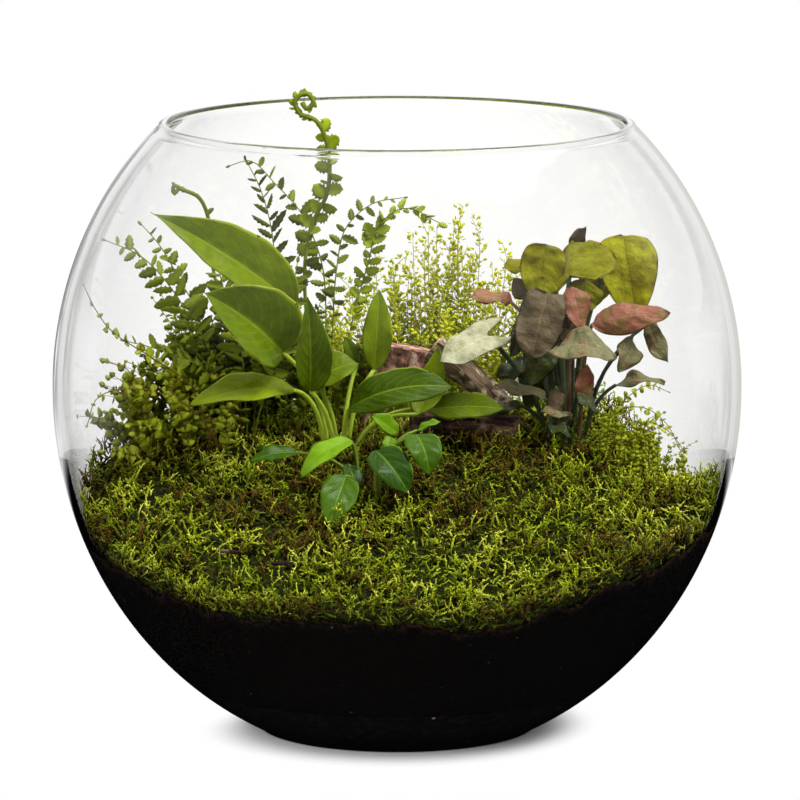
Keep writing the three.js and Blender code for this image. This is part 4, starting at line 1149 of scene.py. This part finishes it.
def frondBatches(spec, leaflets, rng, start=None):
    # a rib along its route with a leaflet to each side at every step, as (shape, places, tints) batches
    frond = {**frondShape, **spec}
    if start is None:
        foot = footIn(frond["crown"], frond["foot"])
        start = [foot, foot + Vector((0, 0, holes["depth"] + 2))]
    run, length = smoothRoute([*start, *frond["route"]], frond["steps"])
    count = round(frond["count"] * frond["more"])
    pitch = length * (frond["until"] - frond["bare"]) / (count + 1)
    face = Vector(frond["face"])
    rows = []  # (root, direction, sideways, length, width)
    for hand in (1, -1):
        for i in range(count):
            u = frond["bare"] * length + pitch * (i + (0.5 if hand > 0 or frond["opposite"] else 1))
            spot, ahead = pointAt(run, min(u / length, 1))
            side, normal = frameOf(ahead, face)
            full = math.sin(math.pi * (0.18 + 0.78 * i / count)) ** 0.8
            size = frond["longest"] * max(frond["least"], full) * rng.uniform(0.6, 1.2)
            shake = Vector(rng.normal(0, frond["jitter"], 3))
            up = side * -hand + ahead * frond["lean"] - normal * frond["droop"] + shake
            across = ahead + Vector(rng.normal(0, frond["jitter"] * 1.6, 3))
            width = min(frond["broad"] * size / frond["longest"], frond["overlap"] * pitch)
            rows.append((spot[:], up[:], across[:], size, width))
    if frond["until"] == 1:
        ahead, least = aheadOf(run, len(run) - 1), frond["least"]
        rows.append((run[-1][:], ahead[:], frameOf(ahead, face)[0][:], frond["longest"] * least,
                     frond["broad"] * least))
    places = placesFrom(*columnsOf(rows))
    tints = np.clip(frond["tint"] + rng.normal(0, 0.12, len(rows)), 0, 1)
    rib = ribTemplate(run[::frond["ribStep"]], frond["rib"], frond["tipRib"], frond["ribSides"])
    kind = rng.integers(0, len(leaflets), len(rows))
    return [single(rib, frond["tint"])] + [
        (leaflet, places[kind == n], tints[kind == n]) for n, leaflet in enumerate(leaflets)]


def lobed(t):
    # a fern leaflet: broad at its base and blunt, with a few rounded teeth
    return 0.52 * (1 - t ** 3) ** 0.6 * (0.56 + 0.44 * abs(math.sin(3.5 * math.pi * t + 0.4)))


def toothed(t):
    # a slender fern leaflet that runs to a point, its edge cut into teeth
    return 0.5 * math.sin(math.pi * min(1, 0.1 + 0.9 * t) ** 0.8) ** 0.7 * (0.5 + 0.5 * ((5 * t) % 1))


def notched(t):
    # a leaflet so small that its edge is only a few big teeth
    return 0.56 * math.sin(math.pi * min(1, 0.14 + 0.86 * t) ** 0.7) ** 0.6 * (0.52 + 0.96 * ((3 * t) % 1))


def oval(t):
    return 0.5 * math.sin(math.pi * min(1, t) ** 0.8) ** 0.7


# crown, foot, route, face, then the number, the length and the width of the leaflets
fronds = [
    growth("fernBack", (-3, -3), [(-40, 60, 166), (-41, 60, 196), (-38, 62, 213), (-31, 62, 228),
           (-31, 60, 249), (-36, 58, 260), (-43, 58, 263), (-45, 58, 269), (-40, 58, 272), (-37, 58, 268),
           (-40, 58, 265), (-42, 58, 268)], (0, -1, 0), 9, 6.5, 6.5, bare=0.38, lean=0.4, least=0.85,
           rib=1.3, tipRib=1.8, until=0.82, more=1.2, tint=0.75, steps=220, ribSides=7,
           curl=dict(count=13, longest=3.2, broad=3.2)),
    growth("fernLeft", (-1, 5), [(-78, 69, 170), (-84, 74, 200), (-85, 72, 216), (-89, 68, 225),
           (-96, 64, 229), (-100, 64, 231), (-100, 64, 227), (-98, 64, 229)], (0, -1, 0), 4, 6, 4,
           bare=0.55, rib=1.1, tipRib=1.8, until=0.84, more=1, steps=220, ribSides=7,
           curl=dict(count=7, longest=2.2, broad=2.2)),
    growth("fernBack", (-2, 3), [(-32, 78, 168), (-34, 84, 193), (-43, 86, 215), (-55, 84, 229),
           (-66, 80, 240), (-75, 78, 238)], (0.2, -1, 0.3), 9, 7, 4, bare=0.35, more=1.3, tint=0.35),
    growth("fernLeft", (4, 2), [(-58, 72, 169), (-55, 80, 190), (-57, 86, 210), (-62, 88, 227),
           (-67, 88, 237)], (0, -0.9, 0.4), 9, 11, 4.2, more=2, tint=0.15, lean=0.9, slender=True),
    growth("fernLeft", (-5, -2), [(-87, 40, 164), (-99, 36, 187), (-113, 32, 203), (-129, 28, 211)],
           (0.2, -0.8, 0.5), 9, 10, 5.5),
    growth("fernLeft", (-4, 2), [(-85, 60, 166), (-97, 62, 188), (-106, 60, 204), (-114, 56, 214)],
           (0, -0.8, 0.5), 9, 9, 5),
    growth("fernLeft", (1, -1), [(-70, 50, 163), (-78, 52, 189), (-82, 54, 209)], (0.3, -1, 0.2), 9, 9, 5),
    growth("fernBack", (2, 0), [(-29, 76, 163), (-27, 80, 192), (-23, 82, 209), (-11, 82, 220),
           (3, 80, 223)], (0, -0.9, 0.4), 9, 6, 3.4, bare=0.4, more=1.3, slender=True),
    growth("fernBack", (4, 4), [(-20, 84, 167), (-13, 90, 192), (-8, 92, 209), (4, 90, 217), (19, 84, 211)],
           (0, -0.8, 0.6), 9, 6.5, 5, bare=0.35, more=2, least=0.6, tint=0.9, lean=0.9),
    growth("fernLeft", (-3, -5), [(-84, 32, 151), (-102, 22, 162), (-119, 14, 168)], (0.1, -0.6, 0.8), 9, 9,
           5, bare=0.2),
    growth("fernLeft", (5, -4), [(-50, 40, 164), (-47, 40, 182), (-44, 40, 199)], (0, -1, 0.2), 9, 9, 5),
]
fernHabit = {"seed": 21, "curlSeed": 22, "lean": 0.45, "broader": 1.35, "longer": 1.12, "overlap": 1.9}
# a dark tangle of short fronds at the foot of the tall ones, which rises highest in its middle
undergrowth = {"count": 86, "x": (-66, 24), "y": (68, 17), "within": 118, "rise": (16, 76), "wide": 60,
               "spray": 40, "leaflets": 9, "broad": 5.5, "longest": (4.5, 8.5), "tint": (0.0, 0.85)}


def makeFern():
    rng, curlRng = (np.random.default_rng(fernHabit[key]) for key in ("seed", "curlSeed"))
    material = makeLeafMaterial(
        "fernLeafSkin", dark="3a440a", light="a8b624", under="96a022", vein="9aa82f", stalk="7c8a2a",
        through="f6f24c", rough=0.45, wax=0.3, veins=5, sweep=0.5, veinShare=0.2, glow=0.52)
    slender = [leafletTemplate(4, 9, toothed, *bend) for bend in ((0.3, 0.1), (0.8, 0.3))]
    leaflets = slender + [leafletTemplate(4, 9, lobed, *bend) for bend in ((0.3, 0.15), (-0.6, -0.3))]
    small = [leafletTemplate(2, 6, notched, cup, 0.2) for cup in (0.5, -0.5)]
    for i, frond in enumerate(fronds):
        wide = {"lean": fernHabit["lean"], **frond, "broad": frond["broad"] * fernHabit["broader"],
                "longest": frond["longest"] * fernHabit["longer"], "overlap": fernHabit["overlap"]}
        batches = frondBatches(wide, slender if "slender" in frond else leaflets, rng)
        if "curl" in frond:
            # unopened leaflets crumpled along the curled tip, on the same rib
            curled = {**wide, **frond["curl"], "bare": frond["until"], "until": 0.985, "more": 1, "lean": 1.3}
            batches += frondBatches(curled, leaflets, curlRng)[1:]
        repeated(f"fernFrond{i + 1}", material, batches, [f"fern_frond_{i + 1}"])
    under, look = [], undergrowth
    middle = look["x"][0]
    for _ in range(look["count"]):
        x, y = rng.normal(*look["x"]), rng.normal(*look["y"])
        if math.hypot(x, y) > look["within"]:
            continue
        foot = Vector((x, y, hill(x, y) - 2))
        out = Vector((rng.normal((x - middle) / look["spray"], 0.5), rng.normal(-0.15, 0.5), 0))
        rise = rng.uniform(*look["rise"]) * math.exp(-((x - middle) / look["wide"]) ** 2)
        route = [foot + Vector((0, 0, part * rise)) + out * away
                 for part, away in ((0.4, 4), (0.8, 12), (1, 22))]
        spec = dict(route=route, face=(rng.normal(0, 0.4), -1, rng.uniform(0, 0.8)),
                    count=look["leaflets"], broad=look["broad"], longest=rng.uniform(*look["longest"]),
                    bare=0.15, rib=0.8, tint=rng.uniform(*look["tint"]), overlap=2, jitter=0.35,
                    ribStep=7, ribSides=3)
        under += frondBatches(spec, small, rng, [foot])
    repeated("fernUndergrowth", material, under)


makeFern()
print("ferns grown")


trails = [
    growth("trail", (-2, 1), [(-91, 14, 148), (-107, 4, 162), (-124, -4, 175), (-131, -6, 185),
           (-136, -4, 195)], (0.2, -0.7, 0.6), 9, 4.5, 4.5, opposite=True, bare=0.3),
    growth("trail", (1, -2), [(-95, 4, 143), (-116, -6, 150), (-130, -14, 147), (-134, -18, 136)],
           (0, -0.5, 0.85), 8, 4.5, 4.5, opposite=True, bare=0.3),
]
sprigs = [
    growth("sprig", (-1, 1), [(98, 14, 137), (109, 8, 139), (118, 2, 133), (123, -4, 124)], (0, -0.6, 0.8),
           6, 3.5, 2.8, opposite=True, bare=0.3),
    growth("sprigBack", (0, 0), [(102, 66, 133), (113, 66, 140), (122, 60, 138)], (0, -0.7, 0.7), 6, 4, 3,
           opposite=True),
    growth("sprig", (1.5, 0), [(107, 24, 130), (119, 16, 128), (127, 8, 119)], (0, -0.6, 0.8), 6, 3.5, 2.8,
           opposite=True, bare=0.3),
]
creepers = {
    "roundLeafCreeper": {"count": 50, "x": (-94, 15), "y": (40, 18), "rise": (8, 46), "out": -0.7,
                         "reach": 20, "leaves": 7, "leaf": 5.6, "tint": (0.2, 1.0)},
    "paleLeafCreeper": {"count": 62, "x": (104, 13), "y": (38, 24), "rise": (6, 28), "out": 0.3,
                        "reach": 12, "leaves": 9, "leaf": 2.5, "tint": (0.8, 1.0)},
}
trailing = {"seed": 33, "within": 128}


def makeTrails():
    rng = np.random.default_rng(trailing["seed"])
    material = makeLeafMaterial(
        "creepingLeafSkin", dark="5a600c", light="bcc830", under="a2aa34", vein="b4c04c", stalk="7a5a2a",
        through="f4f468", edge="8a6a2a", rough=0.4, wax=0.3, veins=3, veinShare=0.15, glow=0.52)
    roundLeaf = [leafletTemplate(4, 6, oval, cup, 0.1) for cup in (0.3, -0.5)]
    small = [leafletTemplate(2, 4, oval, cup, 0.1) for cup in (0.4, -0.6)]
    habits = (
        ("trailingStem", "trailing_stem", trails, dict(more=1.3, jitter=0.3, rib=0.8, lean=0.5)),
        ("lowSprig", "low_sprig", sprigs, dict(more=1.8, jitter=0.35, rib=0.6, lean=0.7, tint=0.8)),
    )
    for name, node, stems, habit in habits:
        for i, stem in enumerate(stems):
            batches = frondBatches({**stem, **habit}, roundLeaf, rng)
            repeated(f"{name}{i + 1}", material, batches, [f"{node}_{i + 1}"])
    for name, look in creepers.items():
        batches = []
        for _ in range(look["count"]):
            x, y = rng.normal(*look["x"]), rng.normal(*look["y"])
            if math.hypot(x, y) > trailing["within"]:
                continue
            foot = Vector((x, y, hill(x, y) - 2))
            rise = rng.uniform(*look["rise"])
            out = Vector((rng.normal(look["out"], 0.5), rng.normal(-0.3, 0.5), 0)) * look["reach"]
            route = [foot + Vector((0, 0, part * rise)) + out * away
                     for part, away in ((0.5, 0.25), (0.9, 0.6), (1, 1))]
            spec = dict(route=route, face=(rng.normal(0, 0.4), -0.7, 0.6), count=look["leaves"],
                        longest=look["leaf"], broad=look["leaf"] * 0.9, bare=0.1, rib=0.5, more=1, lean=0.6,
                        jitter=0.4, least=0.6, opposite=True, tint=rng.uniform(*look["tint"]), overlap=3,
                        ribStep=7, ribSides=3)
            batches += frondBatches(spec, small, rng, [foot])
        repeated(name, material, batches)


makeTrails()
print("trailing plants grown")


# (crown, top, spread)
sprays = [("spike1", (-15, 106, 190), 10), ("spike2", (8, 109, 199), 9), ("spike3", (27, 108, 213), 8),
          ("spike4", (48, 102, 197), 11)]
sprayLook = {"seed": 8, "stems": 15, "lift": 20, "stock": 2.2, "stem": 0.7, "pitch": 2.2, "branch": 8,
             "leafPitch": 1.3, "leaf": 2.5}
sprayFluff = {"count": 88, "stem": 0.6, "x": (-36, 50), "y": (62, 106), "rise": (14, 52)}


def featheryStem(run, length, rng, leaves):
    # tiny leaves along short branchlets that stand all round a stem; leaves takes (root, way, length, tint)
    look = sprayLook
    steps = int(length / look["pitch"])
    for m in range(steps):
        t = 0.12 + 0.88 * (m + 0.5) / steps
        spot, ahead = pointAt(run, t)
        away = Matrix.Rotation(m * 2.4 + rng.normal(0, 0.4), 3, ahead) @ ahead.orthogonal().normalized()
        branch = (away + ahead * rng.uniform(0.5, 1.2)).normalized()
        reach = look["branch"] * (1.15 - 0.8 * t) * rng.uniform(0.6, 1.2)
        count = max(2, int(reach / look["leafPitch"]))
        for q in range(count):
            at = spot + branch * (reach * (q + 0.4) / count)
            way = branch * 0.8 + Vector(rng.normal(0, 0.6, 3))
            tint = clamp(0.3 + 0.55 * t + rng.normal(0, 0.16))
            leaves.append((at[:], way[:], look["leaf"] * rng.uniform(0.75, 1.25), tint))


def leafPlaces(leaves, rng):
    # each leaf turned at random round its own length
    roots, ups, lengths, tints = columnsOf(leaves)
    return placesFrom(roots, ups, rng.normal(0, 1, roots.shape), lengths, lengths * 0.75), tints


def makeSpikeMoss():
    rng = np.random.default_rng(sprayLook["seed"])
    material = makeLeafMaterial(
        "spikeMossSkin", dark="9aa208", light="dce040", under="c8ce2c", vein="ccd63c", stalk="b0ae3c",
        through="fffc50", wax=0.08, rough=0.6, veins=1, veinShare=0.0, glow=0.55)
    scale = leafletTemplate(2, 2, oval, 0.3, 0.15, 0.12)
    for n, (crown, top, spread) in enumerate(sprays):
        start, top = footIn(crown), Vector(top)
        heart = start + Vector((0, 0, sprayLook["lift"]))
        stock = ribTemplate([start, start.lerp(heart, 0.5), heart], sprayLook["stock"], 0.8)
        batches = [single(stock, 0.3)]
        leaves = []
        for k in range(sprayLook["stems"]):
            share = (k + 0.5) / sprayLook["stems"] * 2 - 1
            end = Vector((top.x + 1.9 * spread * share + rng.normal(0, 2.5), top.y + rng.normal(0, 7),
                          top.z - rng.uniform(0, 44) * abs(share) ** 0.6 - rng.uniform(0, 18)))
            if k % 5 == 2:
                end.z = top.z - 10 * abs(share)
            middle = heart.lerp(end, 0.5) + Vector((spread * 0.9 * share, rng.normal(0, 3), 2))
            crook = end + Vector((rng.normal(0, 2.5), 0, 3))
            run, length = smoothRoute([heart - Vector((0, 0, 6)), middle, end, crook], 30)
            batches.append(single(ribTemplate(run[::3], sprayLook["stem"], 0.5, 3), 0.4))
            featheryStem(run, length, rng, leaves)
        batches.append((scale, *leafPlaces(leaves, rng)))
        repeated(f"spikeMoss{n + 1}", material, batches, [f"spike_moss_{n + 1}"])
    # the fluff of low shoots round the sprays
    leaves, batches = [], []
    for _ in range(sprayFluff["count"]):
        x, y = rng.uniform(*sprayFluff["x"]), rng.uniform(*sprayFluff["y"])
        foot = Vector((x, y, hill(x, y) - 2))
        lean = Vector((rng.normal(0, 6), rng.normal(-2, 5), rng.uniform(*sprayFluff["rise"])))
        middle = foot + lean * 0.5 + Vector((rng.normal(0, 2), 0, 2))
        run, length = smoothRoute([foot, middle, foot + lean], 12)
        batches.append(single(ribTemplate(run[::3], sprayFluff["stem"], 0.5, 3), 0.4))
        featheryStem(run, length, rng, leaves)
    batches.append((scale, *leafPlaces(leaves, rng)))
    repeated("spikeMossFluff", material, batches)


makeSpikeMoss()
print("spike moss grown")


wood = [
    dict(name="barkSlab", node="bark_slab", route=[(-2, 60, 114), (2, 60, 138), (6, 60, 158)],
         wide=34, deep=14, ridge=1.6,
         skin="flakyBark", dark="3a221a", light="a07260", worn="dcbca4", grain=(26, 5, 1)),
    dict(name="driftwoodLimb", node="driftwood_limb", route=[(16, 48, 160), (30, 47, 149), (48, 46, 131)],
         wide=12, deep=12, ridge=0.9,
         skin="greyDriftwood", dark="20160f", light="806c54", worn="c8b696", grain=(34, 3, 1)),
    # the root's colours are kept dark: painted shade, as it lies low in the shadow of the stems
    dict(name="driftwoodRoot", node="driftwood_root", route=[(6, 31, 128), (30, 29, 128), (54, 30, 125)],
         wide=14, deep=12, ridge=1.0,
         skin="paintedShadeRootwood", dark="140c08", light="46322a", worn="6e5444", grain=(26, 5, 1)),
]
limbGrid, twigGrid = (56, 64), (10, 24)  # facets around and rings along
twigSkin = dict(skin="deadTwigBark", dark="0c0706", light="30201a", worn="6a5548", grain=(6, 8, 1))


def makeWoodMaterial(look):
    # dead wood: long fibres and cracks that follow the limb, with lichen-pale worn ridges
    newMaterial(look["skin"])
    fibres = addNode("Mapping", {"Vector": addNode("UVMap"), "Scale": look["grain"]})
    grain = addNode("TexNoise", fibres, 1.0, 6.0, 0.65)
    cloud = addNode("TexNoise", addNode("TexCoord").outputs["Object"], 1 / (5 * mm), 5.0)
    body = layered(look["dark"], (addNode("ease", grain, 0.35, 0.65), look["light"]),
                   (addNode("ease", cloud, 0.5, 0.66, 0.0, 0.7), look["worn"]))
    height = addNode("add", grain, addNode("multiply", cloud, 0.5))
    return finishRough(body, 0.8, 0.25, height, 0.9, 1.2)


def addLimb(bm, spec, around, rings):
    # uneven rings along a route; ridge is how deep its weathered grooves are
    run, length = smoothRoute(spec["route"], rings)
    frames = [frameOf(aheadOf(run, j), Vector((0, -1, 0.2))) for j in range(rings + 1)]

    def place(i, j):
        t, turn = j / rings, 2 * math.pi * i / around
        side, normal = frames[j]
        knot = 1 + 0.12 * (math.cos(3 * turn + 5 * t) + math.cos(7 * t + 2 * turn + length))
        wide, deep = spec["wide"] / 2 * knot, spec["deep"] / 2 * knot
        spot = run[j] + side * (math.cos(turn) * wide) + normal * (math.sin(turn) * deep)
        out = (side * math.cos(turn) + normal * math.sin(turn)).normalized()
        groove = noise.noise(polar(3.2, turn, t * 1.6))
        crumb = noise.noise(spot / 3.2) + 0.5 * noise.noise(spot / 1.3)
        return spot + out * (spec["ridge"] * (groove * 1.3 + 0.5 * crumb))
    rolledGrid(bm, around, rings, place)


def makeWood():
    twigBark = makeWoodMaterial(twigSkin)
    for limb in wood:
        bm = startMesh()
        addLimb(bm, limb, *limbGrid)
        finishPiece(bm, limb["name"], makeWoodMaterial(limb), [limb["node"]])
    for node, twig in twigs.items():
        bm = startMesh()
        girth = twig["girth"]
        route = [Vector((x, y, hill(x, y) + 0.3 * girth)) for x, y in (twig["from"], twig["to"])]
        route.insert(1, route[0].lerp(route[1], 0.5) + Vector((0, 0, 0.5)))
        addLimb(bm, {"route": route, "wide": girth, "deep": girth, "ridge": 0.15}, *twigGrid)
        finishPiece(bm, "twig" + node[-1], twigBark, [node])


makeWood()
print("wood laid")
